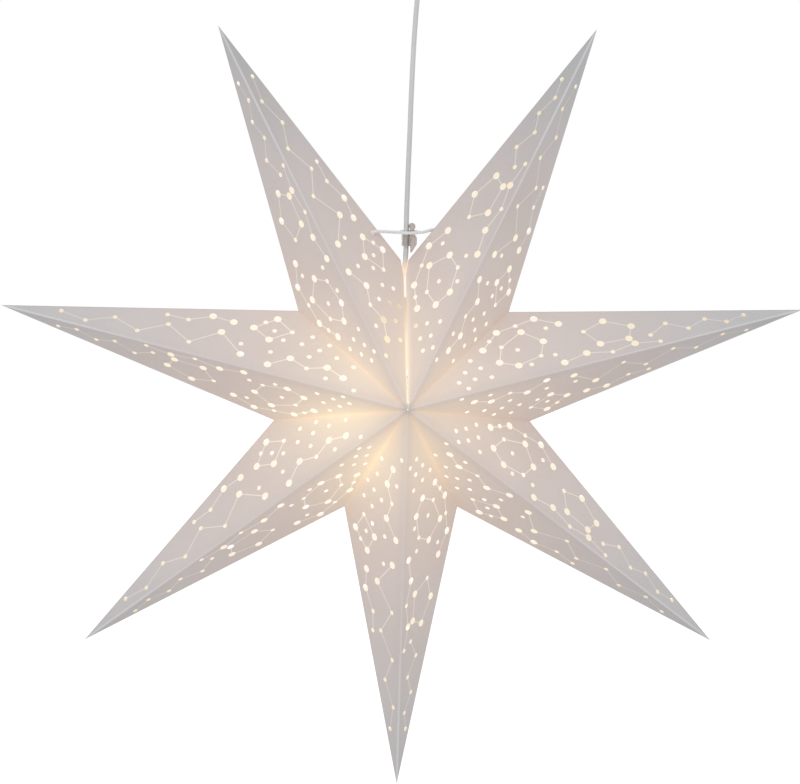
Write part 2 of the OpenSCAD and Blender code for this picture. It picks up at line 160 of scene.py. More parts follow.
class Shader:
    """The node tree of one material or of the world."""

    def __init__(self, tree: bpy.types.NodeTree) -> None:
        """Start with an empty tree."""
        self.tree = tree
        tree.nodes.clear()

    def add(
        self,
        kind: str,
        settings: dict[str, object],
        inputs: dict[str | int, Input],
        output: str | int = 0,
    ) -> Value:
        """Add one node.

        Args:
            kind: The node's type.
            settings: Its own settings, such as an operation, set before its sockets.
            inputs: Values or links of its sockets, by name or number.
            output: The output to give back.

        Returns:
            That output, or an empty value for a node without outputs.
        """
        node = self.tree.nodes.new(kind)
        for name, setting in settings.items():
            setattr(node, name, setting)
        for key, given in inputs.items():
            if isinstance(given, Value):
                self.tree.links.new(given.socket, node.inputs[key])
            else:
                node.inputs[key].default_value = given
        return Value(self, node.outputs[output] if len(node.outputs) else None)

    def place(self) -> Value:
        """The place on the resting object."""
        return self.add("ShaderNodeTexCoord", {}, {}, "Object")

    def vector(self, operation: str, inputs: dict[str | int, Input], output: str | int = 0) -> Value:
        """Add a Vector Math node."""
        return self.add("ShaderNodeVectorMath", {"operation": operation}, inputs, output)

    def noise(self, place: Value, grain: Grain) -> Value:
        """Cloudy noise about 0.5.

        Args:
            place: Where on the object.
            grain: The pattern.

        Returns:
            Numbers about 0.5.
        """
        drawn = self.vector("MULTIPLY", {0: place, 1: grain.squeeze})
        inputs = {"Vector": drawn, "Scale": grain.scale, "Detail": grain.detail}
        return self.add("ShaderNodeTexNoise", {}, {**inputs, "Roughness": grain.roughness})

    def distance(self, place: Value, middle: Place) -> Value:
        """Distance of a place from a fixed one."""
        return self.vector("DISTANCE", {0: place, 1: middle}, "Value")

    def mix(self, factor: Value, first: Value | Colour, second: Value | Colour) -> Value:
        """Blend two colours."""
        ends = [c if isinstance(c, Value) else rgba(c) for c in (first, second)]
        return self.add("ShaderNodeMix", {"data_type": "RGBA"}, {0: factor, 6: ends[0], 7: ends[1]}, 2)

    def scaled(self, colour: Value | Colour, amount: Value) -> Value:
        """A colour multiplied by a number."""
        return self.vector("SCALE", {0: colour, "Scale": amount})

    def total(self, first: Value, second: Value | Colour) -> Value:
        """The sum of two colours."""
        return self.vector("ADD", {0: first, 1: second})

    def bump(self, height: Value, depth: float, strength: float) -> Value:
        """The normal over a relief of the given depth."""
        inputs = {"Height": height, "Distance": depth, "Strength": strength}
        return self.add("ShaderNodeBump", {}, inputs, "Normal")

    def principled(self, inputs: dict[str | int, Input], glow: Value | None = None) -> Value:
        """Add the main surface shader.

        Args:
            inputs: Values or links of its sockets.
            glow: The light that the surface gives off, if any.

        Returns:
            The shader.
        """
        if glow is not None:
            inputs = {**inputs, "Emission Color": glow, "Emission Strength": 1.0}
        return self.add("ShaderNodeBsdfPrincipled", {}, inputs)

    def background_ray(self) -> Value:
        """One for rays that see the white background, and nought for those that light the object."""
        camera = self.add("ShaderNodeLightPath", {}, {}, "Is Camera Ray")
        return (camera + camera.other("Is Glossy Ray") + camera.other("Is Transmission Ray")).clamped()


@dataclass(frozen=True)
class Grain:
    """A cloudy pattern: how fine it is, its detail, and how it is squeezed along the three axes."""

    scale: float
    detail: float = 3.0
    squeeze: Place = (1.0, 1.0, 1.0)
    roughness: float = 0.55


def shaded(colour: Colour, share: float) -> Colour:
    """A colour with each of its parts multiplied."""
    return tuple(share * part for part in colour)


@dataclass(frozen=True)
class Finish(ABC):
    """One finish of the object, made into a material when it is first used."""

    name: str

    @abstractmethod
    def surface(self, shader: Shader) -> Value:
        """Add the finish's nodes and give back its shader."""

    def material(self) -> bpy.types.Material:
        """The material of this finish.

        Returns:
            The material, made at the first call.
        """
        found = bpy.data.materials.get(self.name)
        if found is not None:
            return found
        made = bpy.data.materials.new(self.name)
        made.use_nodes = True
        shader = Shader(made.node_tree)
        shader.add("ShaderNodeOutputMaterial", {}, {"Surface": self.surface(shader)})
        return made


@dataclass(frozen=True)
class LampLight:
    """Light of the lamp on a surface: a near glow that falls off fast, a wide one, and an even rest."""

    near: Colour
    wide: Colour
    rest: Colour = (0.0, 0.0, 0.0)
    place: Place = (-0.0253, 0.0, -0.405)
    near_reach: float = 0.0226
    wide_end: float = 0.3
    wide_span: float = 0.24

    def near_light(self, shader: Shader, place: Value) -> Value:
        """Strength of the near glow at a place."""
        return math.e ** (shader.distance(place, self.place) * (-1 / self.near_reach))

    def colour(self, shader: Shader, place: Value) -> Value:
        """Colour of all the lamp's light at a place.

        Args:
            shader: The tree that the nodes go into.
            place: The place on the object.

        Returns:
            The colour of the light.
        """
        spread = ((self.wide_end - shader.distance(place, self.place)) / self.wide_span).clamped()
        both = shader.total(
            shader.scaled(self.near, self.near_light(shader, place)), shader.scaled(self.wide, spread)
        )
        return shader.total(both, self.rest)


@dataclass(frozen=True)
class LitPaper(Finish):
    """Paper with the lamp behind it: its own colour, and the light that comes through it."""

    colour: Colour
    pale: Colour
    light: LampLight
    folded: bool = False
    cloud: Grain = Grain(16)
    cloud_share: float = 1.2
    fibre: Grain = Grain(900, 4, (1.0, 1.0, 0.35))
    fibre_share: float = 0.9
    glow_swing: float = 0.12
    cloud_relief: float = 0.6
    flap_shade_w: float = 0.0085
    flap_shade_soft: float = 0.0045
    flap_shade_loss: float = 0.12
    apex_shade_w: float = 0.0045
    apex_shade_loss: float = 0.75
    ridge_w: float = 0.0011
    ridge_highlight_colour: Colour = (0.72, 0.71, 0.73)
    ridge_highlight_share: float = 0.5
    ridge_from: float = 0.11
    ridge_span: float = 0.14
    outer_shade: float = 0.0
    rim_w: float = 0.0012
    rim_shade_colour: Colour = (0.33, 0.32, 0.32)
    rim_shade_share: float = 0.6
    valley_w: float = 0.0075
    valley_glow: Colour = (1.0, 0.45, 0.08)

    def folds(self, shader: Shader, place: Value, colour: Value, glow: Value) -> tuple[Value, Value]:
        """Painted light on the folds: ridge highlights, shade on rims, by the ridge flap and at the apex,
        bright valleys.

        Args:
            shader: The tree that the nodes go into.
            place: The place on the object.
            colour: The paper's colour so far.
            glow: The light through the paper so far.

        Returns:
            The colour and the light with the marks.
        """
        ways = shader.add("ShaderNodeAttribute", {"attribute_name": "creases"}, {}, "Vector")
        ridge = shader.add("ShaderNodeSeparateXYZ", {}, {"Vector": ways}, "X")
        valley = ridge.other("Y")
        rim = ridge.other("Z")
        # Painted shade in the glow: a band along the ridge, the shadow of the glue flap inside the real
        # star.
        flap_shade = ((self.flap_shade_w - ridge) / self.flap_shade_soft).clamped()
        # Painted shade in the glow round the apex.
        apex = (1 - (ridge + valley) / self.apex_shade_w).clamped()
        glow = shader.scaled(glow, (1 - flap_shade * self.flap_shade_loss) * (1 - apex * self.apex_shade_loss))
        # Painted shade: the paper's colour grows darker away from the lamp.
        outer = ((shader.distance(place, self.light.place) - self.ridge_from) / self.ridge_span).clamped()
        colour = shader.scaled(colour, 1 - outer * self.outer_shade)
        # Painted highlight: a pale line along the outer part of each ridge.
        ridge_highlight = ((self.ridge_w - ridge) / (self.ridge_w / 2)).clamped() * outer
        colour = shader.mix(ridge_highlight * self.ridge_highlight_share, colour, self.ridge_highlight_colour)
        # Painted shade: a dark line along the rim.
        colour = shader.mix((1 - rim / self.rim_w).clamped() * self.rim_shade_share, colour, self.rim_shade_colour)
        warm = (1 - valley / self.valley_w).clamped() ** 2 * self.light.near_light(shader, place)
        return colour, shader.total(glow, shader.scaled(self.valley_glow, warm))

    def surface(self, shader: Shader) -> Value:
        """Paper with clouds and fibres, brighter towards the lamp.

        Args:
            shader: The tree that the nodes go into.

        Returns:
            The surface.
        """
        place = shader.place()
        cloud = shader.noise(place, self.cloud)
        fibre = shader.noise(place, self.fibre)
        look = (cloud.about(0.5, self.cloud_share) + fibre.about(0.0, self.fibre_share)).clamped()
        colour = shader.mix(look, self.colour, self.pale)
        glow = shader.scaled(self.light.colour(shader, place), cloud.about(1.0, self.glow_swing))
        if self.folded:
            colour, glow = self.folds(shader, place, colour, glow)
        inputs = {
            "Base Color": colour,
            "Roughness": fibre.about(0.72, 0.2),
            "Specular IOR Level": 0.2,
            "Normal": shader.bump(fibre + cloud * self.cloud_relief, depth=0.0002, strength=0.5),
        }
        return shader.principled(inputs, glow)


@dataclass(frozen=True)
class Plastic(Finish):
    """Moulded plastic with a fine eggshell texture and faint clouds of colour."""

    colour: Colour
    roughness: float = 0.42
    grain: Grain = Grain(1500)
    cloud: Grain = Grain(45, 2)
    shade: float = 0.86
    light: LampLight | None = None

    def surface(self, shader: Shader) -> Value:
        """Plastic whose gloss and colour vary a little, and which the lamp lights if it is near.

        Args:
            shader: The tree that the nodes go into.

        Returns:
            The surface.
        """
        place = shader.place()
        cloud = shader.noise(place, self.cloud)
        inputs = {
            "Base Color": shader.mix(cloud, shaded(self.colour, self.shade), self.colour),
            "Roughness": cloud.about(self.roughness, 0.2),
            "Normal": shader.bump(shader.noise(place, self.grain), depth=0.00006, strength=0.25),
        }
        return shader.principled(inputs, self.light.colour(shader, place) if self.light else None)


@dataclass(frozen=True)
class CordSkin(Finish):
    """The soft skin of the flat cord, drawn lengthwise; the lamp lights it where it enters the star."""

    colour: Colour
    dark: Colour
    light: LampLight
    streak: Grain = Grain(900, 3, (1.0, 1.0, 0.04))
    streak_share: float = 0.7
    cloud: Grain = Grain(60)
    cloud_share: float = 0.5
    darker: float = 0.1

    def surface(self, shader: Shader) -> Value:
        """Soft plastic with long faint streaks.

        Args:
            shader: The tree that the nodes go into.

        Returns:
            The surface.
        """
        place = shader.place()
        streak = shader.noise(place, self.streak)
        cloud = shader.noise(place, self.cloud)
        look = (streak * self.streak_share + cloud * self.cloud_share - self.darker).clamped()
        inputs = {
            "Base Color": shader.mix(look, self.dark, self.colour),
            "Roughness": cloud.about(0.5, 0.2),
            "Normal": shader.bump(streak, depth=0.00008, strength=0.3),
        }
        return shader.principled(inputs, self.light.colour(shader, place))


@dataclass(frozen=True)
class CottonString(Finish):
    """Twisted cotton with loose fibres."""

    colour: Colour
    dark: Colour
    fibre: Grain = Grain(2600, 4, (0.3, 1.0, 1.0))
    fibre_share: float = 0.8
    cloud: Grain = Grain(160, 2)
    cloud_share: float = 0.4
    darker: float = 0.1

    def surface(self, shader: Shader) -> Value:
        """Dull fibres that lie along the string.

        Args:
            shader: The tree that the nodes go into.

        Returns:
            The surface.
        """
        place = shader.place()
        fibre = shader.noise(place, self.fibre)
        cloud = shader.noise(place, self.cloud)
        look = (fibre * self.fibre_share + cloud * self.cloud_share - self.darker).clamped()
        return shader.principled({
            "Base Color": shader.mix(look, self.dark, self.colour),
            "Roughness": fibre.about(0.8, 0.2),
            "Sheen Weight": 0.25,
            "Specular IOR Level": 0.2,
            "Normal": shader.bump(fibre, depth=0.0002, strength=0.5),
        })


@dataclass(frozen=True)
class ClearPlastic(Finish):
    """Cloudy clear plastic with flow lines; the hook's warm tan is painted lamp light."""

    colour: Colour
    dark: Colour
    clear: float
    flow: Grain = Grain(420, 3, (1.0, 1.0, 0.25))

    def surface(self, shader: Shader) -> Value:
        """Plastic that lets some light through, with flow lines from the mould.

        Args:
            shader: The tree that the nodes go into.

        Returns:
            The surface.
        """
        flow = shader.noise(shader.place(), self.flow)
        return shader.principled({
            "Base Color": shader.mix(flow, self.dark, self.colour),
            "Roughness": flow.about(0.4, 0.2),
            "Transmission Weight": self.clear,
            "IOR": 1.45,
            "Normal": shader.bump(flow, depth=0.0001, strength=0.2),
        })


@dataclass(frozen=True)
class Metal(Finish):
    """Bare or plated metal with dull patches and fine scratches."""

    colour: Colour
    roughness: float
    scratch: Grain = Grain(1800, 3, (1.0, 1.0, 0.08))
    patch: Grain = Grain(120, 4)
    shade: float = 0.72

    def surface(self, shader: Shader) -> Value:
        """Metal with varied gloss.

        Args:
            shader: The tree that the nodes go into.

        Returns:
            The surface.
        """
        place = shader.place()
        patch = shader.noise(place, self.patch)
        return shader.principled({
            "Base Color": shader.mix(patch, shaded(self.colour, self.shade), self.colour),
            "Metallic": 1.0,
            "Roughness": patch.about(self.roughness, 0.3).clamped(),
            "Normal": shader.bump(shader.noise(place, self.scratch), depth=0.00004, strength=0.3),
        })


@dataclass(frozen=True)
class BulbGlass(Finish):
    """Thin clear glass, with a warm shine where the lit lamp shows in it."""

    colour: Colour
    shine: Colour
    smear: Grain = Grain(70)
    shine_swing: float = 0.6

    def surface(self, shader: Shader) -> Value:
        """Glass with faint smears.

        Args:
            shader: The tree that the nodes go into.

        Returns:
            The surface.
        """
        smear = shader.noise(shader.place(), self.smear)
        inputs = {
            "Base Color": rgba(self.colour),
            "Roughness": smear.about(0.06, 0.08),
            "Transmission Weight": 0.92,
            "IOR": 1.25,
        }
        return shader.principled(inputs, shader.scaled(self.shine, smear.about(1.0, self.shine_swing)))


@dataclass(frozen=True)
class LitFilament(Finish):
    """A yellow light filament that glows."""

    colour: Colour
    pale: Colour
    glow: Colour
    grain: Grain = Grain(900, 2)
    glow_swing: float = 0.3

    def surface(self, shader: Shader) -> Value:
        """Filament with a slightly uneven glow.

        Args:
            shader: The tree that the nodes go into.

        Returns:
            The surface.
        """
        grain = shader.noise(shader.place(), self.grain)
        inputs = {
            "Base Color": shader.mix(grain, self.colour, self.pale),
            "Roughness": grain.about(0.6, 0.2),
        }
        return shader.principled(inputs, shader.scaled(self.glow, grain.about(1.0, self.glow_swing)))


@dataclass(frozen=True)
class PaleFloor(Finish):
    """Pale studio floor that shows white where nothing shades it, and is not seen from below."""

    colour: Colour = (0.8, 0.8, 0.8)
    lift: Colour = (0.42, 0.42, 0.42)
    speck: Grain = Grain(30, 2)
    shade: float = 0.99

    def surface(self, shader: Shader) -> Value:
        """Dull floor, lifted to white for the rays that see the background.

        Args:
            shader: The tree that the nodes go into.

        Returns:
            The surface.
        """
        speck = shader.noise(shader.place(), self.speck)
        inputs = {
            "Base Color": shader.mix(speck, shaded(self.colour, self.shade), self.colour),
            "Roughness": 0.9,
            "Specular IOR Level": 0.0,
        }
        floor = shader.principled(inputs, shader.scaled(self.lift, shader.background_ray()))
        below = shader.add("ShaderNodeNewGeometry", {}, {}, "Backfacing")
        clear = shader.add("ShaderNodeBsdfTransparent", {}, {})
        return shader.add("ShaderNodeMixShader", {}, {0: below, 1: floor, 2: clear})


PAPER_OUTSIDE = LitPaper(
    "folded paper outside", (0.487, 0.481, 0.485), (0.532, 0.531, 0.54),
    LampLight((2.5, 2.15, 0.95), (0.222, 0.118, 0.066)), folded=True,
)
# Beside the seam the paper grows darker outwards: painted shade.
PAPER_HEM = replace(PAPER_OUTSIDE, name="paper left of the seam", outer_shade=0.1)
PAPER_SEAM = replace(PAPER_HEM, name="paper right of the seam", valley_w=0.005, valley_glow=(4.5, 3.8, 2.4))
PAPER_LINE = LitPaper(
    "scored star line", (0.54, 0.525, 0.515), (0.59, 0.575, 0.57),
    LampLight((2.5, 2.15, 0.95), (0.36, 0.28, 0.2), (0.025, 0.02, 0.01)),
)
# The inside is a darker copy of the paper's colour: painted shade. Its glow is the lamp's light.
PAPER_INSIDE = LitPaper(
    "paper inside by the lamp", (0.27, 0.26, 0.23), (0.3, 0.29, 0.26),
    LampLight((0.3, 0.27, 0.25), (0.19, 0.22, 0.29), (0.59, 0.5, 0.36)),
)
PAPER_EDGE = LitPaper(
    "cut paper edge", (0.5, 0.46, 0.4), (0.56, 0.52, 0.46),
    LampLight((0.6, 0.5, 0.35), (0.35, 0.32, 0.28), (0.3, 0.22, 0.1)),
)
CORD_SKIN = CordSkin(
    "flat cord skin", (0.66, 0.66, 0.66), (0.54, 0.54, 0.54),
    LampLight((0.0, 0.0, 0.0), (0.75, 0.36, 0.16), wide_end=0.117, wide_span=0.02),
)
STRING = CottonString("twisted tie string", (0.86, 0.86, 0.87), (0.74, 0.74, 0.75))
COLLAR_PLASTIC = ClearPlastic("clear collar plastic", (0.93, 0.92, 0.91), (0.84, 0.82, 0.8), 0.93)
# The hook's warm tan is painted lamp light from the star, on cloudy plastic.
HOOK_PLASTIC = ClearPlastic("cloudy hook plastic", (0.72, 0.64, 0.6), (0.5, 0.43, 0.39), 0.25)
WHITE_PLASTIC = Plastic("white moulded plastic", (0.76, 0.75, 0.73))
# A darker copy of the white plastic: painted shade inside the star. Its glow is the lamp's light.
HOLDER_PLASTIC = Plastic(
    "lampholder plastic by the lamp", (0.27, 0.26, 0.24), light=LampLight(
        (0.2, 0.2, 0.15), (0.68, 0.53, 0.37), (0.12, 0.08, 0.06), wide_end=0.11, wide_span=0.055,
    ),
)
BLUE_CORE = Plastic("blue core skin", (0.06, 0.17, 0.45), 0.35)
BROWN_CORE = Plastic("brown core skin", (0.2, 0.09, 0.04), 0.35)
IVORY_PLASTIC = Plastic("ivory terminal plastic", (0.72, 0.68, 0.56), 0.5)
BLACK_GLASS = Plastic("dark cap glass", (0.02, 0.02, 0.025), 0.15)
CERAMIC = Plastic("pale contact ceramic", (0.74, 0.71, 0.65), 0.6, Grain(700))
NICKEL = Metal("nickelled steel", (0.62, 0.61, 0.59), 0.3)
ZINC = Metal("galvanised plate", (0.55, 0.56, 0.57), 0.45, Grain(1800))
BRASS = Metal("contact brass", (0.72, 0.52, 0.2), 0.32)
BULB_GLASS = BulbGlass("thin bulb glass", (0.9, 0.9, 0.88), (0.05, 0.038, 0.018))
FILAMENT = LitFilament("lit filament", (0.85, 0.6, 0.2), (0.9, 0.75, 0.4), (1.0, 0.78, 0.42))
FLOOR = PaleFloor("pale floor")


def bend(start: Vector, corner: Vector, end: Vector, steps: int) -> list[Vector]:
    """A curve that leaves its start towards a corner and comes from there to its end.

    Args:
        start: Where it starts.
        corner: The corner that it rounds.
        end: Where it ends.
        steps: Its pieces.

    Returns:
        The points of the curve with both ends.
    """
    shares = [k / steps for k in range(steps + 1)]
    return [start * (1 - t) ** 2 + corner * (2 * t * (1 - t)) + end * t**2 for t in shares]


def blunted(before: Vector, here: Vector, after: Vector, cut: float, steps: int) -> list[Vector]:
    """A rounded corner.

    Args:
        before: The corner before it.
        here: The corner itself.
        after: The corner after it.
        cut: Length taken from its two sides, at most half of each.
        steps: Pieces of the round.

    Returns:
        The points of the round.
    """
    ends = []
    for far in (before, after):
        side = far - here
        ends.append(here + side.normalized() * min(cut, side.length / 2))
    return bend(ends[0], here, ends[1], steps)


def rounded(corners: Sequence[Place], steps: int = 5) -> list[Spot]:
    """Round the corners of a closed outline.

    Args:
        corners: Each corner as two coordinates and the length cut from its two edges.
        steps: Pieces of each rounded corner.

    Returns:
        The points of the rounded outline.
    """
    outline = []
    for i, (x, y, cut) in enumerate(corners):
        if cut == 0:
            outline.append((x, y))
            continue
        before, here, after = (Vector(corners[(i + k) % len(corners)][:2]) for k in (-1, 0, 1))
        outline += [(spot.x, spot.y) for spot in blunted(before, here, after, cut, steps)]
    return outline


def softened(corners: Sequence[Vector], cut: float, step: float, steps: int = 4) -> list[Vector]:
    """A path with rounded corners and evenly short steps.

    Args:
        corners: The path's corners.
        cut: Length taken from each side of an inner corner.
        step: Greatest step of the result.
        steps: Pieces of each rounded corner.

    Returns:
        The points of the path.
    """
    path = [corners[0]]
    for before, here, after in zip(corners, corners[1:], corners[2:]):
        path += blunted(before, here, after, cut, steps)
    path.append(corners[-1])
    even = [path[0]]
    for here, after in zip(path, path[1:]):
        pieces = max(1, math.ceil((after - here).length / step))
        even += [here.lerp(after, (k + 1) / pieces) for k in range(pieces)]
    return even


def flowing(points: Sequence[Vector], pieces: int) -> list[Vector]:
    """A smooth curve through the given points.

    Args:
        points: Places that the curve passes.
        pieces: Steps between two of them.

    Returns:
        The points of the curve.
    """
    curve = []
    for i in range(len(points) - 1):
        a, b, c, d = (points[min(max(i + k, 0), len(points) - 1)] for k in (-1, 0, 1, 2))
        bow = 2 * a - 5 * b + 4 * c - d
        swing = 3 * b - a - 3 * c + d
        for k in range(pieces):
            t = k / pieces
            curve.append(0.5 * (2 * b + (c - a) * t + bow * t**2 + swing * t**3))
    curve.append(points[-1])
    return curve


def circle(radius: float, sides: int) -> list[Spot]:
    """The corners of a round section."""
    angles = [math.tau * k / sides for k in range(sides)]
    return [(radius * math.cos(angle), radius * math.sin(angle)) for angle in angles]


def turned(outline: Sequence[Spot], middle: Vector, sides: int, ripple: Ripple | None = None) -> list[Ring]:
    """Turn an outline round the upright axis.

    Args:
        outline: Radius and height of each corner.
        middle: Where the axis crosses height nought.
        sides: Corners of each ring.
        ripple: What is added to the radius, from the angle, the radius and the height.

    Returns:
        One ring for each corner.
    """
    rings = []
    for radius, height in outline:
        ring = []
        for k in range(sides):
            angle = math.tau * k / sides
            reach = radius + (ripple(angle, radius, height) if ripple else 0)
            ring.append(middle + Vector((reach * math.cos(angle), reach * math.sin(angle), height)))
        rings.append(ring)
    return rings


def frames(path: Sequence[Vector], first: Vector, closed: bool = False) -> list[tuple[Vector, Vector]]:
    """Two directions across a path at each of its points, turning as little as possible.

    Args:
        path: The points of the path.
        first: A direction across the path at its start.
        closed: True if the path comes back to its start.

    Returns:
        The two directions at each point.
    """
    across = first
    found = []
    last = len(path) - 1
    for i in range(len(path)):
        behind = path[i - 1] if closed else path[max(i - 1, 0)]
        ahead = path[(i + 1) % len(path)] if closed else path[min(i + 1, last)]
        way = (ahead - behind).normalized()
        across = (across - way * across.dot(way)).normalized()
        found.append((across, way.cross(across)))
    return found


class Shape:
    """A mesh in the making: rings of places are joined to skins, and the skins become one piece."""

    def __init__(self) -> None:
        """Start empty."""
        self.places: list[Vector] = []
        self.faces: list[tuple[int, ...]] = []
        self.kinds: list[int] = []

    def face(self, corners: Sequence[int], kind: int = 0) -> None:
        """Add one face of places that are already there."""
        self.faces.append(tuple(corners))
        self.kinds.append(kind)

    def skin(self, rings: Sequence[Sequence[Vector]], closed: bool = False, kind: int = 0) -> None:
        """Join rings of equal length to a closed skin.

        Args:
            rings: The rings in order.
            closed: True if the last ring joins the first; otherwise both ends get a flat cap.
            kind: The material's number.
        """
        base = len(self.places)
        n = len(rings[0])
        for ring in rings:
            self.places += ring
        count = len(rings)
        for i in range(count if closed else count - 1):
            low = base + i * n
            high = base + (i + 1) % count * n
            for k in range(n):
                m = (k + 1) % n
                self.face((low + k, low + m, high + m, high + k), kind)
        if not closed:
            self.face(range(base + n - 1, base - 1, -1), kind)
            self.face(range(base + (count - 1) * n, base + count * n), kind)

    def sweep(
        self,
        path: Sequence[Vector],
        section: Sequence[Spot],
        first: Vector,
        closed: bool = False,
        kind: int = 0,
    ) -> None:
        """Pull a section along a path.

        Args:
            path: The points of the path.
            section: The section's outline across the path.
            first: The direction of the section's first axis at the start.
            closed: True if the path comes back to its start.
            kind: The material's number.
        """
        rings = [
            [here + one * x + two * y for x, y in section]
            for here, (one, two) in zip(path, frames(path, first, closed))
        ]
        self.skin(rings, closed, kind)

    def piece(
        self,
        name: str,
        finishes: Sequence[Finish],
        body: str,
        slot: str,
        replaced: Sequence[str],
        sharp: float = 38.0,
        outward: bool = True,
    ) -> bpy.types.Object:
        """Make the mesh an object that stands for CAD nodes and moves with a body.

        Args:
            name: The piece's name.
            finishes: Its materials in the order of their numbers.
            body: The CAD body that it moves with.
            slot: The record's material slot; not used.
            replaced: The CAD nodes that it stands for.
            sharp: Angle in degrees from which an edge shows sharp.
            outward: True if the faces still have to be turned outwards.

        Returns:
            The new object.
        """
        mesh = bpy.data.meshes.new(name)
        mesh.from_pydata(self.places, [], self.faces)
        for finish in finishes:
            mesh.materials.append(finish.material())
        mesh.polygons.foreach_set("material_index", self.kinds)
        if outward:
            work = bmesh.new()
            work.from_mesh(mesh)
            bmesh.ops.recalc_face_normals(work, faces=work.faces)
            work.to_mesh(mesh)
            work.free()
        mesh.shade_smooth()
        mesh.set_sharp_from_angle(angle=math.radians(sharp))
        made = bpy.data.objects.new(name, mesh)
        bpy.context.scene.collection.objects.link(made)
        return settled(made, body, replaced)


def settled(piece: bpy.types.Object, body: str, replaced: Sequence[str]) -> bpy.types.Object:
    """Let a piece move with a body and stand for CAD nodes.

    Args:
        piece: The object.
        body: The CAD body that it moves with.
        replaced: The CAD nodes that it stands for.

    Returns:
        The same object.
    """
    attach(piece, body)
    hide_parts(*replaced)
    LOG.info("%s moves with %s", piece.name, body)
    return piece


def dress(finishes: dict[str, Finish]) -> None:
    """Give CAD nodes that stay their finishes.

    Args:
        finishes: The finish of each node.
    """
    for node, finish in finishes.items():
        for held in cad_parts[node].material_slots:
            held.material = finish.material()
        LOG.info("%s dressed in %s", node, finish.name)


@dataclass(frozen=True)
class FaceFrame:
    """Where a flat face stands: its apex, its ridge, the way to its notch and its outward normal."""

    apex: Vector
    along: Vector
    across: Vector
    outward: Vector

    def at(self, x: float, y: float, height: float) -> Vector:
        """The place of a spot on the face."""
        return self.apex + self.along * x + self.across * y + self.outward * height

    def turned_over(self) -> bool:
        """True if the three directions are left-handed."""
        return self.along.cross(self.across).dot(self.outward) < 0


@dataclass(frozen=True)
class FoldedSheet:
    """Sizes of the folded star and the places of its folds."""

    width: float = 0.6
    notch_r: float = 0.099
    depth: float = 0.15
    slot_angle: float = math.radians(3.4)
    leaves: int = 14
    widest: int = 3
    paper_t: float = 0.0003
    centre: Place = (-0.01, 0.0, -0.392)

    @property
    def leaf_angle(self) -> float:
        """Angle between two folds."""
        return (math.tau - self.slot_angle) / self.leaves

    @property
    def tip_r(self) -> float:
        """Distance of the tips from the centre, from the tip that is farthest to the side."""
        return self.width / 2 / math.sin(self.slot_angle / 2 + self.widest * self.leaf_angle)

    def fold(self, edge: int) -> Vector:
        """The outer end of a fold: odd ones are tips, even ones are notches.

        Args:
            edge: The fold's number, clockwise from the seam.

        Returns:
            Its place about the star's centre.
        """
        angle = self.slot_angle / 2 + edge * self.leaf_angle
        reach = self.tip_r if edge % 2 else self.notch_r
        return Vector((reach * math.sin(angle), 0, reach * math.cos(angle)))

    def apex(self, side: Side) -> Vector:
        """The middle of one side, about the star's centre."""
        return Vector((0, side.value * self.depth / 2, 0))

    @property
    def ridge_len(self) -> float:
        """Length of a ridge."""
        return (self.fold(1) - self.apex(Side.FRONT)).length

    @property
    def notch(self) -> Vector:
        """The notch's corner of a flat face.

        Returns:
            Its places along the ridge and across it.
        """
        valley = self.fold(0) - self.apex(Side.FRONT)
        ridge = (self.fold(1) - self.apex(Side.FRONT)).normalized()
        along = valley.dot(ridge)
        return Vector((along, (valley - ridge * along).length))

    def frame(self, leaf: int, side: Side) -> FaceFrame:
        """Where one face stands.

        Args:
            leaf: The face's number round the star, from the top, clockwise from the front.
            side: Front or back.

        Returns:
            Its frame.
        """
        tip, notch = (leaf + 1, leaf) if leaf % 2 == 0 else (leaf, leaf + 1)
        apex = self.apex(side)
        along = (self.fold(tip) - apex).normalized()
        valley = self.fold(notch) - apex
        across = (valley - along * valley.dot(along)).normalized()
        outward = along.cross(across)
        if outward.y * side.value < 0:
            outward = -outward
        return FaceFrame(apex + Vector(self.centre), along, across, outward)

    def face_width(self, x: float) -> float:
        """Width of a flat face at a distance from the apex.

        Args:
            x: The distance along the ridge.

        Returns:
            The width across the ridge.
        """
        notch = self.notch
        if x < notch.x:
            return x * notch.y / notch.x
        return (self.ridge_len - x) * notch.y / (self.ridge_len - notch.x)


@dataclass(frozen=True)
class Hole:
    """One punched hole on a flat face, and the share of its diameter that is open."""

    spot: Vector
    diameter: float
    clear: float = 1.0

    @property
    def open_r(self) -> float:
        """Radius of its open part."""
        return self.clear * self.diameter / 2

    def gap(self, other: Hole) -> float:
        """Paper between two holes of full diameter."""
        return (self.spot - other.spot).length - (self.diameter + other.diameter) / 2

    def outline(self, sides: int) -> list[Vector]:
        """The corners of its open part."""
        return [self.spot + Vector(corner) for corner in circle(self.open_r, sides)]


@dataclass(frozen=True)
class Figure:
    """Holes that scored lines join, in a row or in a closed ring, as shares of a face's length and width."""

    spots: list[Spot]
    closed: bool = False


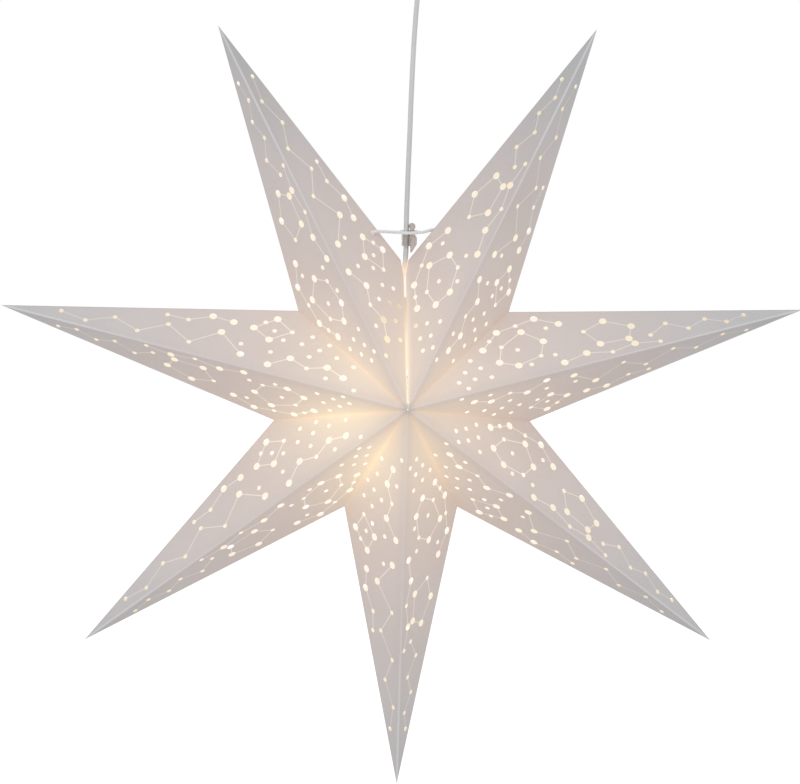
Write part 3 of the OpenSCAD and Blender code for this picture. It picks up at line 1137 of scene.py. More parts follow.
@dataclass(frozen=True)
class Punching:
    """The punched holes of a face: trails and rings joined by scored lines, and loose holes between them."""

    sheet: FoldedSheet
    big: float = 0.007
    small: float = 0.0044
    web: float = 0.003
    edge_web: float = 0.002
    clear: float = 0.82
    outer_share: float = 0.6
    golden: float = 0.618
    tie_hole: float = 0.0032
    tie_up: float = 0.03
    tie_in: float = 0.006

    @staticmethod
    def trail(count: int, start: Spot, end: Spot, zig: float) -> Figure:
        """Holes on a line that swings from side to side.

        Args:
            count: How many holes.
            start: Start of the line.
            end: End of the line.
            zig: How far each hole is to one side of the line.

        Returns:
            The row of holes.
        """
        spots = []
        for i in range(count):
            t = i / (count - 1)
            swing = zig if i % 2 else -zig
            spots.append((start[0] + (end[0] - start[0]) * t, start[1] + (end[1] - start[1]) * t + swing))
        return Figure(spots)

    @staticmethod
    def ring(count: int, middle: Spot, reach: Spot, start: float) -> Figure:
        """Holes round a middle.

        Args:
            count: How many holes.
            middle: The middle of the ring.
            reach: Its two radii.
            start: Angle of the first hole in degrees.

        Returns:
            The ring of holes.
        """
        angles = [math.radians(start + 360 * i / count) for i in range(count)]
        spots = [(middle[0] + reach[0] * math.cos(a), middle[1] + reach[1] * math.sin(a)) for a in angles]
        return Figure(spots, closed=True)

    def loose(self, count: int, low: Spot, high: Spot, shift: float) -> list[Spot]:
        """Scattered spots in a field.

        Args:
            count: How many spots.
            low: The field's lowest shares.
            high: The field's highest shares.
            shift: Where along the face the first one is, as a share of the field.

        Returns:
            The spots.
        """
        return [
            (
                low[0] + (high[0] - low[0]) * ((shift + self.golden * i) % 1),
                low[1] + (high[1] - low[1]) * (i + 0.5) / count,
            )
            for i in range(count)
        ]

    def figures(self, hand: Hand) -> list[Figure]:
        """The trails and rings of a face.

        Args:
            hand: Left or right face of a point.

        Returns:
            The figures.
        """
        if hand is Hand.LEFT:
            return [
                self.ring(5, (0.535, 0.52), (0.06, 0.25), 20),
                self.trail(6, (0.625, 0.45), (0.86, 0.5), 0.13),
                self.trail(5, (0.43, 0.82), (0.23, 0.84), 0.05),
                self.trail(5, (0.4, 0.15), (0.64, 0.15), 0.04),
                self.ring(6, (0.315, 0.46), (0.062, 0.23), 10),
            ]
        return [
            self.trail(8, (0.42, 0.36), (0.86, 0.48), 0.16),
            self.trail(4, (0.465, 0.8), (0.62, 0.77), 0.05),
            self.ring(4, (0.37, 0.68), (0.045, 0.17), 0),
            self.trail(5, (0.35, 0.19), (0.17, 0.46), 0.06),
        ]

    def loose_spots(self, hand: Hand) -> list[Spot]:
        """The loose holes of a face before those without room are left out.

        Args:
            hand: Left or right face of a point.

        Returns:
            Their spots.
        """
        if hand is Hand.LEFT:
            return self.loose(22, (0.13, 0.14), (0.4, 0.9), 0.1)
        return self.loose(30, (0.13, 0.13), (0.44, 0.9), 0.4)

    def hole(self, spot: Spot, diameter: float) -> Hole:
        """A hole at shares of the face's length and width."""
        x = spot[0] * self.sheet.ridge_len
        return Hole(Vector((x, spot[1] * self.sheet.face_width(x))), diameter, self.clear)

    def figure_holes(self, figure: Figure) -> list[Hole]:
        """The holes of one figure: every third is small, and so are those near the tip.

        Args:
            figure: The trail or ring.

        Returns:
            The holes in order.
        """
        return [
            self.hole(spot, self.small if spot[0] > self.outer_share or i % 3 == 2 else self.big)
            for i, spot in enumerate(figure.spots)
        ]

    def tie_spot(self) -> Vector:
        """The middle of the tie's hole on a flat face.

        Returns:
            Its place, inside the rim.
        """
        notch = self.sheet.notch
        rim = (Vector((self.sheet.ridge_len, 0)) - notch).normalized()
        return notch + rim * self.tie_up + Vector((rim.y, -rim.x)) * self.tie_in


@dataclass(frozen=True)
class FlatFace:
    """A punched face cut into triangles, with the kind of surface of each."""

    seam: bool
    spots: list[Vector]
    triangles: list[tuple[int, ...]]
    layers: list[Layer]


@dataclass(frozen=True)
class PaperStar:
    """The folded paper: 28 punched faces that meet at their creases, and at the top leave a seam."""

    sheet: FoldedSheet
    punching: Punching
    score_w: float = 0.0043
    crease_w: float = 0.0007
    thin_end: float = 1e-4
    line_w: float = 0.0009
    line_in: float = 0.8
    hole_sides: int = 18
    cut_scale: float = 1000.0
    cut_close: float = 1e-4
    apex_hole: float = 0.0014
    front_half: float = 0.00105
    back_half: float = 0.0004
    slot_from: float = 0.035
    slot_to: float = 0.9

    def ways(self, spot: Vector) -> Vector:
        """Distances of a spot on a flat face from its ridge, its valley and its rim.

        Args:
            spot: The spot.

        Returns:
            The three distances.
        """
        notch = self.sheet.notch
        valley = notch.normalized()
        rim = (Vector((self.sheet.ridge_len, 0)) - notch).normalized()
        from_notch = spot - notch
        to_rim = rim.y * from_notch.x - rim.x * from_notch.y
        return Vector((max(spot.y, 0), max(valley.y * spot.x - valley.x * spot.y, 0), max(to_rim, 0)))

    def height(self, ways: Vector, seam: bool) -> float:
        """Thickness of the paper, which thins towards its creases but not towards the open seam.

        Args:
            ways: Distances from the ridge, the valley and the rim.
            seam: True if the valley is the open seam.

        Returns:
            The thickness, or nought where both sides meet.
        """
        share = min(1.0, ways.x / self.crease_w, ways.z / self.crease_w)
        if not seam:
            share = min(share, ways.y / self.score_w)
        return self.sheet.paper_t * share if share > self.thin_end else 0.0

    def corners(self) -> list[Vector]:
        """The corners of a flat face: the apex, the tip and the notch."""
        return [Vector((0, 0)), Vector((self.sheet.ridge_len, 0)), self.sheet.notch]

    def inner_corners(self) -> list[Vector]:
        """The corners of the part of a flat face that has the paper's full thickness.

        Returns:
            The three corners.
        """
        corners = self.corners()
        widths = (self.crease_w, self.score_w, self.crease_w)
        shares = []
        for i, width in enumerate(widths):
            far, here, after = (corners[(i + k) % 3] for k in range(3))
            edge = (after - here).normalized()
            room = abs(edge.x * (far - here).y - edge.y * (far - here).x)
            shares.append(width / room)
        return [
            here + sum(((corners[k] - here) * shares[k] for k in range(3) if k != i), Vector((0, 0)))
            for i, here in enumerate(corners)
        ]

    def seam_spot(self, share: float, half: float) -> Vector:
        """A spot on a seam face at a given distance from the middle of the seam.

        Args:
            share: How far along the valley it is, from the apex.
            half: Its distance from the seam's middle.

        Returns:
            The spot, which is beyond the valley edge where the seam is wider than that.
        """
        edge = self.sheet.notch.normalized()
        side = Vector((-edge.y, edge.x))
        stand = self.sheet.frame(0, Side.FRONT)
        aside = stand.at(side.x, side.y, 0) - stand.apex
        return self.sheet.notch * share + side * ((self.sheet.fold(0).x * share - half) / abs(aside.x))

    def holes(self, hand: Hand, tied: bool) -> list[Hole]:
        """All holes of a face, with the pinhole that the folds leave at the apex.

        Args:
            hand: Left or right face of a point.
            tied: True if the tie goes through it.

        Returns:
            The holes.
        """
        holes = [Hole(Vector((0, 0)), self.apex_hole)]
        for figure in self.punching.figures(hand):
            holes += self.punching.figure_holes(figure)
        for spot in self.punching.loose_spots(hand):
            extra = self.punching.hole(spot, self.punching.small)
            room = min(self.ways(extra.spot)) - extra.diameter / 2
            gap = min(extra.gap(other) for other in holes)
            if room > self.punching.edge_web and gap > self.punching.web:
                holes.append(extra)
        if tied:
            holes.append(Hole(self.punching.tie_spot(), self.punching.tie_hole))
        return holes

    def strips(self, hand: Hand) -> list[list[Vector]]:
        """The scored lines between the holes of each figure, as four corners each.

        Args:
            hand: Left or right face of a point.

        Returns:
            The lines.
        """
        strips = []
        for figure in self.punching.figures(hand):
            holes = self.punching.figure_holes(figure)
            after = holes[1:] + (holes[:1] if figure.closed else [])
            for one, two in zip(holes, after):
                way = (two.spot - one.spot).normalized()
                aside = Vector((-way.y, way.x)) * (self.line_w / 2)
                start = one.spot + way * (self.line_in * one.open_r)
                end = two.spot - way * (self.line_in * two.open_r)
                strips.append([start - aside, end - aside, end + aside, start + aside])
        return strips

    def cut(self, hand: Hand, tied: bool, half: float) -> FlatFace:
        """Cut a flat face into triangles round its holes and lines.

        Args:
            hand: Left or right face of a point.
            tied: True if the tie goes through it.
            half: Half the width that it leaves the seam, or nought for a face away from the seam.

        Returns:
            The triangles without those in the holes.
        """
        # Spots 0 to 2 are the face's corners, and 3 to 5 those of the part with the full thickness.
        spots = self.corners() + self.inner_corners()
        edges = [(0, 1), (1, 2), (2, 0), (3, 4), (4, 5), (5, 3), (0, 3), (1, 4), (2, 5)]
        gaps = [hole.outline(self.hole_sides) for hole in self.holes(hand, tied)]
        if half > 0:
            low = self.seam_spot(self.slot_from, half)
            meet = self.seam_spot(half / self.sheet.fold(0).x, half)
            gaps.append([self.sheet.notch * self.slot_from, low, meet])
            spots += [self.seam_spot(self.slot_to, half), meet]
            edges += [(2, 6), (6, 7)]
        polygons = []
        for loop in gaps + self.strips(hand):
            polygons.append(list(range(len(spots), len(spots) + len(loop))))
            spots += loop
        # The cutting into triangles is steadier in millimetres.
        fine = [spot * self.cut_scale for spot in spots]
        placed, _, triangles, _, _, sources = delaunay_2d_cdt(fine, edges, polygons, 1, self.cut_close)
        kept = []
        layers = []
        for triangle, within in zip(triangles, sources):
            if any(k < len(gaps) for k in within):
                continue
            kept.append(triangle)
            layers.append(Layer.LINE if within else Layer.OUTSIDE)
        used = sorted({corner for triangle in kept for corner in triangle})
        number = {corner: i for i, corner in enumerate(used)}
        triangles = [tuple(number[corner] for corner in triangle) for triangle in kept]
        return FlatFace(half > 0, [placed[corner] / self.cut_scale for corner in used], triangles, layers)

    def build_face(self, leaf: int, side: Side, flat: FlatFace) -> bpy.types.Object:
        """Stand one face in its place, with both sides and the walls of its holes.

        Args:
            leaf: The face's number.
            side: Front or back.
            flat: Its triangles.

        Returns:
            The face's object.
        """
        stand = self.sheet.frame(leaf, side)
        shape = Shape()
        ways = [self.ways(spot) for spot in flat.spots]
        outer = []
        inner = []
        creases = []
        for spot, way in zip(flat.spots, ways):
            height = self.height(way, flat.seam)
            outer.append(len(shape.places))
            shape.places.append(stand.at(spot.x, spot.y, height))
            creases.append(way)
            inner.append(outer[-1] if height == 0 else len(shape.places))
            if height > 0:
                shape.places.append(stand.at(spot.x, spot.y, 0))
                creases.append(way)
        step = -1 if stand.turned_over() else 1
        borders: dict[tuple[int, int], None] = {}
        for triangle, layer in zip(flat.triangles, flat.layers):
            turn = triangle[::step]
            shape.face([outer[k] for k in turn], layer.value)
            shape.face([inner[k] for k in reversed(turn)], Layer.INSIDE.value)
            borders.update(dict.fromkeys(zip(turn, turn[1:] + turn[:1])))
        for one, two in borders:
            if (two, one) in borders:
                continue
            corners = dict.fromkeys((outer[two], outer[one], inner[one], inner[two]))
            if len(corners) > 2:
                shape.face(list(corners), Layer.EDGE.value)
        node = face_node(leaf, side)
        hems = {0: PAPER_SEAM, self.sheet.leaves - 1: PAPER_HEM} if side is Side.FRONT else {}
        finishes = (hems.get(leaf, PAPER_OUTSIDE), PAPER_LINE, PAPER_INSIDE, PAPER_EDGE)
        made = shape.piece(f"paper_{node}", finishes, node, "paper", [node], sharp=12, outward=False)
        held = made.data.attributes.new("creases", "FLOAT_VECTOR", "POINT")
        held.data.foreach_set("vector", [number for way in creases for number in way])
        return made

    def build(self) -> None:
        """Make all faces."""
        last = self.sheet.leaves - 1
        halves = {Side.FRONT: self.front_half, Side.BACK: self.back_half}
        plain = {hand: self.cut(hand, False, 0) for hand in Hand}
        for leaf in range(self.sheet.leaves):
            hand = Hand(leaf % 2)
            for side in Side:
                if leaf in (0, last):
                    tied = (leaf, side) in ((last, Side.FRONT), (0, Side.BACK))
                    self.build_face(leaf, side, self.cut(hand, tied, halves[side]))
                else:
                    self.build_face(leaf, side, plain[hand])


def face_node(leaf: int, side: Side) -> str:
    """The CAD node, and the body, of a face."""
    return f"point_{leaf // 2 + 1}_{side.name.lower()}_{Hand(leaf % 2).name.lower()}"


@dataclass(frozen=True)
class Tie:
    """String through the two sides of the open seam, looped round the cord and the hook's peg."""

    sheet: FoldedSheet
    punching: Punching
    thick: float = 0.0025
    cord_x: float = 0.001
    level: float = 0.12
    peg_x: float = 0.0043
    loop_r: float = 0.0042
    lead: float = 0.0024
    split: float = 0.0003
    knot: float = 0.0044
    plies: int = 3
    lay: float = 0.0075
    step: float = 0.0005
    ply_in: float = 1.08
    ply_swell: float = 1.16
    ply_sides: int = 8
    knot_span: float = 9.2
    knot_thick: float = 0.165
    knot_steps: int = 60
    knot_sides: int = 10
    bend_cut: float = 0.002

    def middle(self) -> Vector:
        """The cord's middle at the level of the tie."""
        return Vector(self.sheet.centre) + Vector((self.cord_x, 0, self.level))

    def twist(self, shape: Shape, path: Sequence[Vector], first: Vector, turns: float, closed: bool) -> None:
        """Lay the plies round a path.

        Args:
            shape: The mesh that they are added to.
            path: The string's middle line.
            first: A direction across it at its start.
            turns: Full turns of the plies over the path.
            closed: True if the path comes back to its start.
        """
        ply_r = self.thick / 2 / (1 + 2 / math.sqrt(3))
        reach = self.thick / 2 - ply_r * self.ply_in
        section = circle(ply_r * self.ply_swell, self.ply_sides)
        across = frames(path, first, closed)
        count = len(path) if closed else len(path) - 1
        for ply in range(self.plies):
            rings = []
            for i, (here, (one, two)) in enumerate(zip(path, across)):
                angle = math.tau * (turns * i / count + ply / self.plies)
                out = one * math.cos(angle) + two * math.sin(angle)
                lead = two * math.cos(angle) - one * math.sin(angle)
                way = (one.cross(two) + lead * (math.tau * reach / self.lay)).normalized()
                side = way.cross(out)
                rings.append([here + out * (reach + x) + side * y for x, y in section])
            shape.skin(rings, closed)

    def knot_path(self, middle: Vector, stand: FaceFrame) -> list[Vector]:
        """The line of an overhand knot in the paper's plane.

        Args:
            middle: The middle of the knot.
            stand: The face that it lies on.

        Returns:
            The closed line.
        """
        unit = self.knot / self.knot_span
        path = []
        for k in range(self.knot_steps):
            t = math.tau * k / self.knot_steps
            x = math.sin(t) + 2 * math.sin(2 * t)
            y = math.cos(t) - 2 * math.cos(2 * t)
            way = stand.along * x + stand.across * y - stand.outward * math.sin(3 * t)
            path.append(middle + way * unit)
        return path

    def build_half(self, name: str, leaf: int, side: Side, start: Vector, way: int) -> bpy.types.Object:
        """One end of the tie, from the loop through the paper to its knot.

        Args:
            name: The CAD node that it stands for.
            leaf: The face that it goes through.
            side: Front or back.
            start: Where it leaves the loop.
            way: Direction along X in which it leaves.

        Returns:
            The piece.
        """
        stand = self.sheet.frame(leaf, side)
        spot = self.punching.tie_spot()
        aside = Vector((way, 0, 0))
        begin = start - aside * (self.split + self.thick / 2)
        outside = stand.at(spot.x, spot.y, self.sheet.paper_t + self.thick)
        inside = stand.at(spot.x, spot.y, -self.knot / 2 - self.split)
        path = softened([begin, start + aside * self.lead, outside, inside], self.bend_cut, self.step)
        shape = Shape()
        length = sum((two - one).length for one, two in zip(path, path[1:]))
        self.twist(shape, path, Vector((0, 0, 1)), length / self.lay, False)
        section = circle(self.knot * self.knot_thick, self.knot_sides)
        shape.sweep(self.knot_path(inside, stand), section, stand.outward, closed=True)
        return shape.piece(f"string_{name}", (STRING,), face_node(leaf, side), "string", [name])

    def build_loop(self) -> bpy.types.Object:
        """The loop round the cord and the peg.

        Returns:
            The piece.
        """
        path = []
        arc = math.ceil(math.pi * self.loop_r / self.step)
        run = math.ceil(self.peg_x / self.step)
        for x, start in ((self.peg_x, -math.pi / 2), (0.0, math.pi / 2)):
            for k in range(arc):
                angle = start + math.pi * k / arc
                spot = (x + self.loop_r * math.cos(angle), self.loop_r * math.sin(angle), 0)
                path.append(self.middle() + Vector(spot))
            end = start + math.pi
            for k in range(run):
                along = x + (self.peg_x - 2 * x) * k / run
                path.append(self.middle() + Vector((along, self.loop_r * math.sin(end), 0)))
        length = math.tau * self.loop_r + 2 * self.peg_x
        shape = Shape()
        self.twist(shape, path, Vector((0, 0, 1)), round(length / self.lay), True)
        return shape.piece("string_tie_loop", (STRING,), "fitting", "string", ["tie_loop"])

    def build(self) -> None:
        """Make the loop and both halves."""
        end = self.loop_r + self.thick / 2 + self.split
        self.build_loop()
        left = self.middle() - Vector((end, 0, 0))
        right = self.middle() + Vector((self.peg_x + end, 0, 0))
        self.build_half("tie_left", self.sheet.leaves - 1, Side.FRONT, left, -1)
        self.build_half("tie_right", 0, Side.BACK, right, 1)


@dataclass(frozen=True)
class Hook:
    """Moulded hook with a clear collar round the cord."""

    grid: float = 0.00022
    rounds: int = 6
    round_share: float = 0.5
    kept_share: float = 0.35
    collar_end: float = -0.0069

    def build(self) -> bpy.types.Object:
        """Round the CAD hook's edges as a mould does.

        Returns:
            The piece.
        """
        work = bpy.data.objects.new("moulded_hook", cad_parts["cord_hook"].data.copy())
        bpy.context.scene.collection.objects.link(work)
        remesh = work.modifiers.new("solid", "REMESH")
        remesh.mode = "VOXEL"
        remesh.voxel_size = self.grid
        smooth = work.modifiers.new("rounding", "SMOOTH")
        smooth.factor = self.round_share
        smooth.iterations = self.rounds
        thin = work.modifiers.new("thinning", "DECIMATE")
        thin.ratio = self.kept_share
        seen = work.evaluated_get(bpy.context.evaluated_depsgraph_get())
        work.data = bpy.data.meshes.new_from_object(seen)
        work.modifiers.clear()
        work.data.materials.clear()
        for finish in (COLLAR_PLASTIC, HOOK_PLASTIC):
            work.data.materials.append(finish.material())
        for face in work.data.polygons:
            face.material_index = int(face.center.x > self.collar_end)
        work.data.shade_smooth()
        return settled(work, "fitting", ["cord_hook"])


@dataclass(frozen=True)
class SupplyCord:
    """Flat twin cord from the ceiling cup to the lampholder, and its two cores in the cup."""

    width: float = 0.0052
    thick: float = 0.0032
    turn: float = math.radians(20)
    length: float = 0.316
    exit: Place = (-0.014, 0.0, -0.3212)
    lobe_steps: int = 9
    path_steps: int = 5
    core: float = 0.0018
    core_gap: float = 0.00015
    core_round: float = 0.002
    core_step: float = 0.001
    core_sides: int = 12
    core_x: float = 0.006
    core_bend: float = 0.004
    block_y: float = 0.0085
    block_z: float = -0.0079

    def route(self) -> list[Vector]:
        """Places on the cord, from the ceiling cup down to the lampholder.

        Returns:
            The points, in metres.
        """
        spots = (
            (0, -21), (0, -34), (0, -48), (0, -62), (-0.8, -74), (-2.2, -86), (-3.4, -98), (-4.3, -110),
            (-5, -122), (-5.6, -134), (-6.1, -147), (-6.5, -160), (-6.9, -173), (-7.2, -186), (-7.5, -199),
            (-7.9, -213), (-8.3, -227), (-8.6, -241), (-8.9, -254), (-9, -266), (-9, -278), (-9.2, -290),
            (-10.2, -300), (-12.2, -309), (-13.6, -316), (-14, -322), (-14, -336),
        )
        return [Vector((x * MM, 0, z * MM)) for x, z in spots]

    def section(self) -> list[Spot]:
        """Two round lobes with a groove between them, turned a little.

        Returns:
            The outline.
        """
        lobe = self.thick / 2
        aside = (self.width - self.thick) / 2
        meet = math.acos(min(1, aside / lobe))
        cosine = math.cos(self.turn)
        sine = math.sin(self.turn)
        outline = []
        for hand in (1, -1):
            for k in range(self.lobe_steps):
                angle = (meet - math.pi) + (math.tau - 2 * meet) * k / self.lobe_steps
                x = hand * (aside + lobe * math.cos(angle))
                y = hand * lobe * math.sin(angle)
                outline.append((x * cosine - y * sine, x * sine + y * cosine))
        return outline

    def build(self, ceiling: Sequence[bpy.types.Object]) -> bpy.types.Object:
        """Make the cord.

        Args:
            ceiling: The pieces of the ceiling fitting on its far end; not used.

        Returns:
            The piece.
        """
        path = flowing(self.route(), self.path_steps)
        shape = Shape()
        shape.sweep(path, self.section(), Vector((0, 1, 0)))
        cord = shape.piece("flat_supply_cord", (CORD_SKIN,), "fitting", "cord", ["supply_cord"])
        return cord

    def build_cores(self) -> bpy.types.Object:
        """Make the two cores in the ceiling cup.

        Returns:
            The piece.
        """
        top = self.route()[0].z
        start = self.core / 2 + self.core_gap
        shape = Shape()
        for kind, way in enumerate((-1, 1)):
            corners = [
                Vector((0, way * start, top)), Vector((0, way * start, top + self.core_bend / 2)),
                Vector((way * self.core_x, self.core_bend, self.block_z)),
                Vector((way * self.core_x, self.block_y + self.core_bend, self.block_z)),
            ]
            path = softened(corners, self.core_round, self.core_step)
            shape.sweep(path, circle(self.core / 2, self.core_sides), Vector((1, 0, 0)), kind=kind)
        finishes = (BLUE_CORE, BROWN_CORE)
        return shape.piece("insulated_cores", finishes, "fitting", "cores", ["supply_cores"])


@dataclass(frozen=True)
class Lamp:
    """The bulb and its holder, about the lamp's axis."""

    axis: Place = (-0.014, 0.0, -0.392)
    globe_r: float = 0.0225
    globe_z: float = -0.012
    globe_foot: float = math.radians(-88)
    globe_span: float = math.radians(138)
    globe_steps: int = 28
    globe_sides: int = 64
    glass: float = 0.0008
    neck_z: float = 0.0165
    neck_in: float = 0.008
    neck_gap: float = 0.0008
    neck_lean: Spot = (-0.011, 0.0065)
    neck_steps: int = 8
    cap_r: float = 0.00695
    cap_len: float = 0.016
    cap_wall: float = 0.0007
    cap_lid: float = 0.0006
    cap_hole: float = 0.002
    cap_steps: int = 64
    cap_sides: int = 48
    thread_pitch: float = 0.0028
    thread_deep: float = 0.0005
    thread_in: float = 0.0015
    thread_out: float = 0.002
    filaments: int = 4
    filament_half: float = 0.01
    filament_r: float = 0.0008
    filament_reach: float = 0.004
    filament_steps: int = 12
    filament_sides: int = 12
    hub_r: float = 0.0056
    hub_t: float = 0.001
    hub_round: float = 0.0003
    hub_hole: float = 0.0006
    hub_sides: int = 32
    stem_hole: float = 0.0004
    stem_head: float = 0.0019
    stem_waist: float = 0.0015
    stem_foot: float = 0.0017
    stem_taper: float = 0.006
    stem_sides: int = 24
    flare_r: float = 0.0058
    flare_t: float = 0.001
    flare_len: float = 0.005
    skirt_z: float = 0.0177
    foot_edge: float = 0.0006
    bore_r: float = 0.008
    bore_edge: float = 0.0004
    waist_r: float = 0.01105
    waist_edge: float = 0.001
    holder_r: float = 0.0145
    holder_edge: float = 0.0008
    inner_r: float = 0.0127
    rim_edge: float = 0.0003
    rim_inner_edge: float = 0.0002
    seat_r: float = 0.0094
    seat_z: float = 0.0335
    block_z: float = 0.0388
    dome_z: float = 0.0448
    dome_top: float = 0.0708
    dome_steps: int = 30
    dome_sides: int = 72
    wall: float = 0.0018
    entry_r: float = 0.003
    entry_edge: float = 0.0005
    ribs: int = 36
    rib_deep: float = 0.0006
    rib_from: float = 0.0016
    rib_to: float = 0.001
    rib_steps: int = 6

    def middle(self) -> Vector:
        """Where the axis crosses the level of the star's centre."""
        return Vector(self.axis)

    def globe_line(self, wall: float) -> list[Spot]:
        """Half the outline of the globe and its neck, a wall's thickness inside the outer one.

        Args:
            wall: The thickness.

        Returns:
            The points from the foot to the end of the neck.
        """
        reach = self.globe_r - wall
        line = []
        for k in range(self.globe_steps + 1):
            angle = self.globe_foot + self.globe_span * k / self.globe_steps
            line.append((reach * math.cos(angle), self.globe_z + reach * math.sin(angle)))
        shoulder = Vector(line[-1])
        neck_r = self.cap_r - self.neck_gap - wall
        lean = shoulder + Vector(self.neck_lean)
        neck = bend(shoulder, lean, Vector((neck_r, self.neck_z)), self.neck_steps)
        line += [(spot.x, spot.y) for spot in neck[1:]]
        line.append((neck_r, self.neck_z + self.neck_in))
        return line

    def build_globe(self) -> None:
        """Glass globe with a wall."""
        outline = self.globe_line(0) + self.globe_line(self.glass)[::-1]
        shape = Shape()
        shape.skin(turned(outline, self.middle(), self.globe_sides))
        shape.piece("glass_globe", (BULB_GLASS,), "bulb", "glass", ["bulb_globe"])

    def build_filaments(self) -> None:
        """Glowing filaments between two hubs, on a stem with a flare."""
        shape = Shape()
        flare = self.neck_z + self.neck_in
        low = self.globe_z - self.filament_half
        high = self.globe_z + self.filament_half
        half = self.hub_t / 2
        stem = [
            (self.stem_hole, high - half), (self.stem_head, high), (self.stem_waist, high + self.stem_taper),
            (self.stem_foot, flare - self.flare_len), (self.flare_r, flare),
            (self.flare_r, flare + self.flare_t), (self.stem_hole, flare + self.flare_t),
        ]
        shape.skin(turned(stem, self.middle(), self.stem_sides), closed=True, kind=1)
        for level in (low, high):
            hub = rounded([
                (self.hub_hole, level - half, 0), (self.hub_r, level - half, self.hub_round),
                (self.hub_r, level + half, self.hub_round), (self.hub_hole, level + half, 0),
            ])
            shape.skin(turned(hub, self.middle(), self.hub_sides), closed=True, kind=1)
        for x, y in circle(self.filament_reach, self.filaments):
            foot = self.middle() + Vector((x, y, low))
            rise = Vector((0, 0, (high - low) / self.filament_steps))
            path = [foot + rise * i for i in range(self.filament_steps + 1)]
            shape.sweep(path, circle(self.filament_r, self.filament_sides), Vector((1, 0, 0)))
        shape.piece("lit_filaments", (FILAMENT, NICKEL), "bulb", "filament", ["bulb_filaments"])

    def thread(self, angle: float, radius: float, height: float) -> float:
        """Depth of the cap's thread, which runs out at both ends.

        Args:
            angle: The angle round the axis.
            radius: The cap's radius; not used.
            height: The height along the axis.

        Returns:
            What is added to the radius.
        """
        rise = height - self.neck_z
        full = min(1.0, rise / self.thread_in, (self.cap_len - rise) / self.thread_out)
        wave = (1 - math.cos(math.tau * rise / self.thread_pitch - angle)) / 2
        return -self.thread_deep * (1 - full + full * wave)

    def build_cap(self) -> None:
        """Screw cap with a rolled thread."""
        top = self.neck_z + self.cap_len
        roof = top - self.cap_lid
        inside = self.cap_r - self.cap_wall
        rise = self.cap_len / self.cap_steps
        outside = [(self.cap_r, self.neck_z + rise * i) for i in range(self.cap_steps + 1)]
        lining = [(self.cap_hole, top), (self.cap_hole, roof), (inside, roof), (inside, self.neck_z)]
        rings = turned(outside, self.middle(), self.cap_sides, self.thread)
        rings += turned(lining, self.middle(), self.cap_sides)
        shape = Shape()
        shape.skin(rings, closed=True)
        shape.piece("threaded_cap", (NICKEL,), "bulb", "steel", ["bulb_cap"])

    def rib_ends(self) -> Spot:
        """Lowest and highest level of the ribs."""
        return (self.block_z - self.wall + self.rib_from, self.dome_z - self.rib_to)

    def rib(self, angle: float, radius: float, height: float) -> float:
        """Depth of the grooves between the ribs, which are only on the outside of the wide part.

        Args:
            angle: The angle round the axis.
            radius: The holder's radius.
            height: The height along the axis.

        Returns:
            What is added to the radius.
        """
        low, high = self.rib_ends()
        if radius <= self.inner_r or not low <= height <= high:
            return 0.0
        return -self.rib_deep * (1 - math.cos(self.ribs * angle)) / 2

    def build_skirt(self) -> None:
        """Stepped skirt of the holder, with grip ribs round its wide part."""
        step = self.block_z - self.wall
        low, high = self.rib_ends()
        outline = rounded([
            (self.bore_r, self.skirt_z, self.bore_edge), (self.waist_r, self.skirt_z, self.foot_edge),
            (self.waist_r, step, self.waist_edge), (self.holder_r, step, self.holder_edge),
            (self.holder_r, low, 0), (self.holder_r, high, 0),
            (self.holder_r, self.dome_z, self.rim_edge), (self.inner_r, self.dome_z, self.rim_inner_edge),
            (self.inner_r, self.block_z, 0), (self.seat_r, self.block_z, 0),
            (self.seat_r, self.seat_z, 0), (self.bore_r, self.seat_z, 0),
        ])
        shape = Shape()
        shape.skin(turned(outline, self.middle(), self.ribs * self.rib_steps, self.rib), closed=True)
        shape.piece("ribbed_holder_skirt", (HOLDER_PLASTIC,), "fitting", "holder", ["holder_skirt"])

    def dome_line(self, wall: float) -> list[Spot]:
        """The arch of the dome, a wall's thickness inside the outer one.

        Args:
            wall: The thickness.

        Returns:
            The points from the rim to the top.
        """
        inner = self.entry_r + self.wall
        reach = self.holder_r - wall - inner
        rise = self.dome_top - wall - self.dome_z
        angles = [math.pi / 2 * k / self.dome_steps for k in range(self.dome_steps + 1)]
        return [(inner + reach * math.cos(a), self.dome_z + rise * math.sin(a)) for a in angles]

    def build_dome(self) -> None:
        """Domed top of the holder."""
        entry = [(self.entry_r, self.dome_top - self.entry_edge), (self.entry_r, self.dome_top - self.wall)]
        outline = self.dome_line(0) + entry + self.dome_line(self.wall)[::-1]
        shape = Shape()
        shape.skin(turned(outline, self.middle(), self.dome_sides), closed=True)
        shape.piece("domed_holder_top", (HOLDER_PLASTIC,), "fitting", "holder", ["holder_dome"])

    def build(self) -> None:
        """Make the lamp and dress its inner parts."""
        self.build_globe()
        self.build_filaments()
        self.build_cap()
        self.build_skirt()
        self.build_dome()
        dress({
            "bulb_insulator": BLACK_GLASS, "bulb_tip": NICKEL,
            "thread_sleeve": BRASS, "contact_block": CERAMIC, "centre_contact": BRASS,
            "holder_screws": NICKEL, "cord_clamp": CERAMIC,
        })


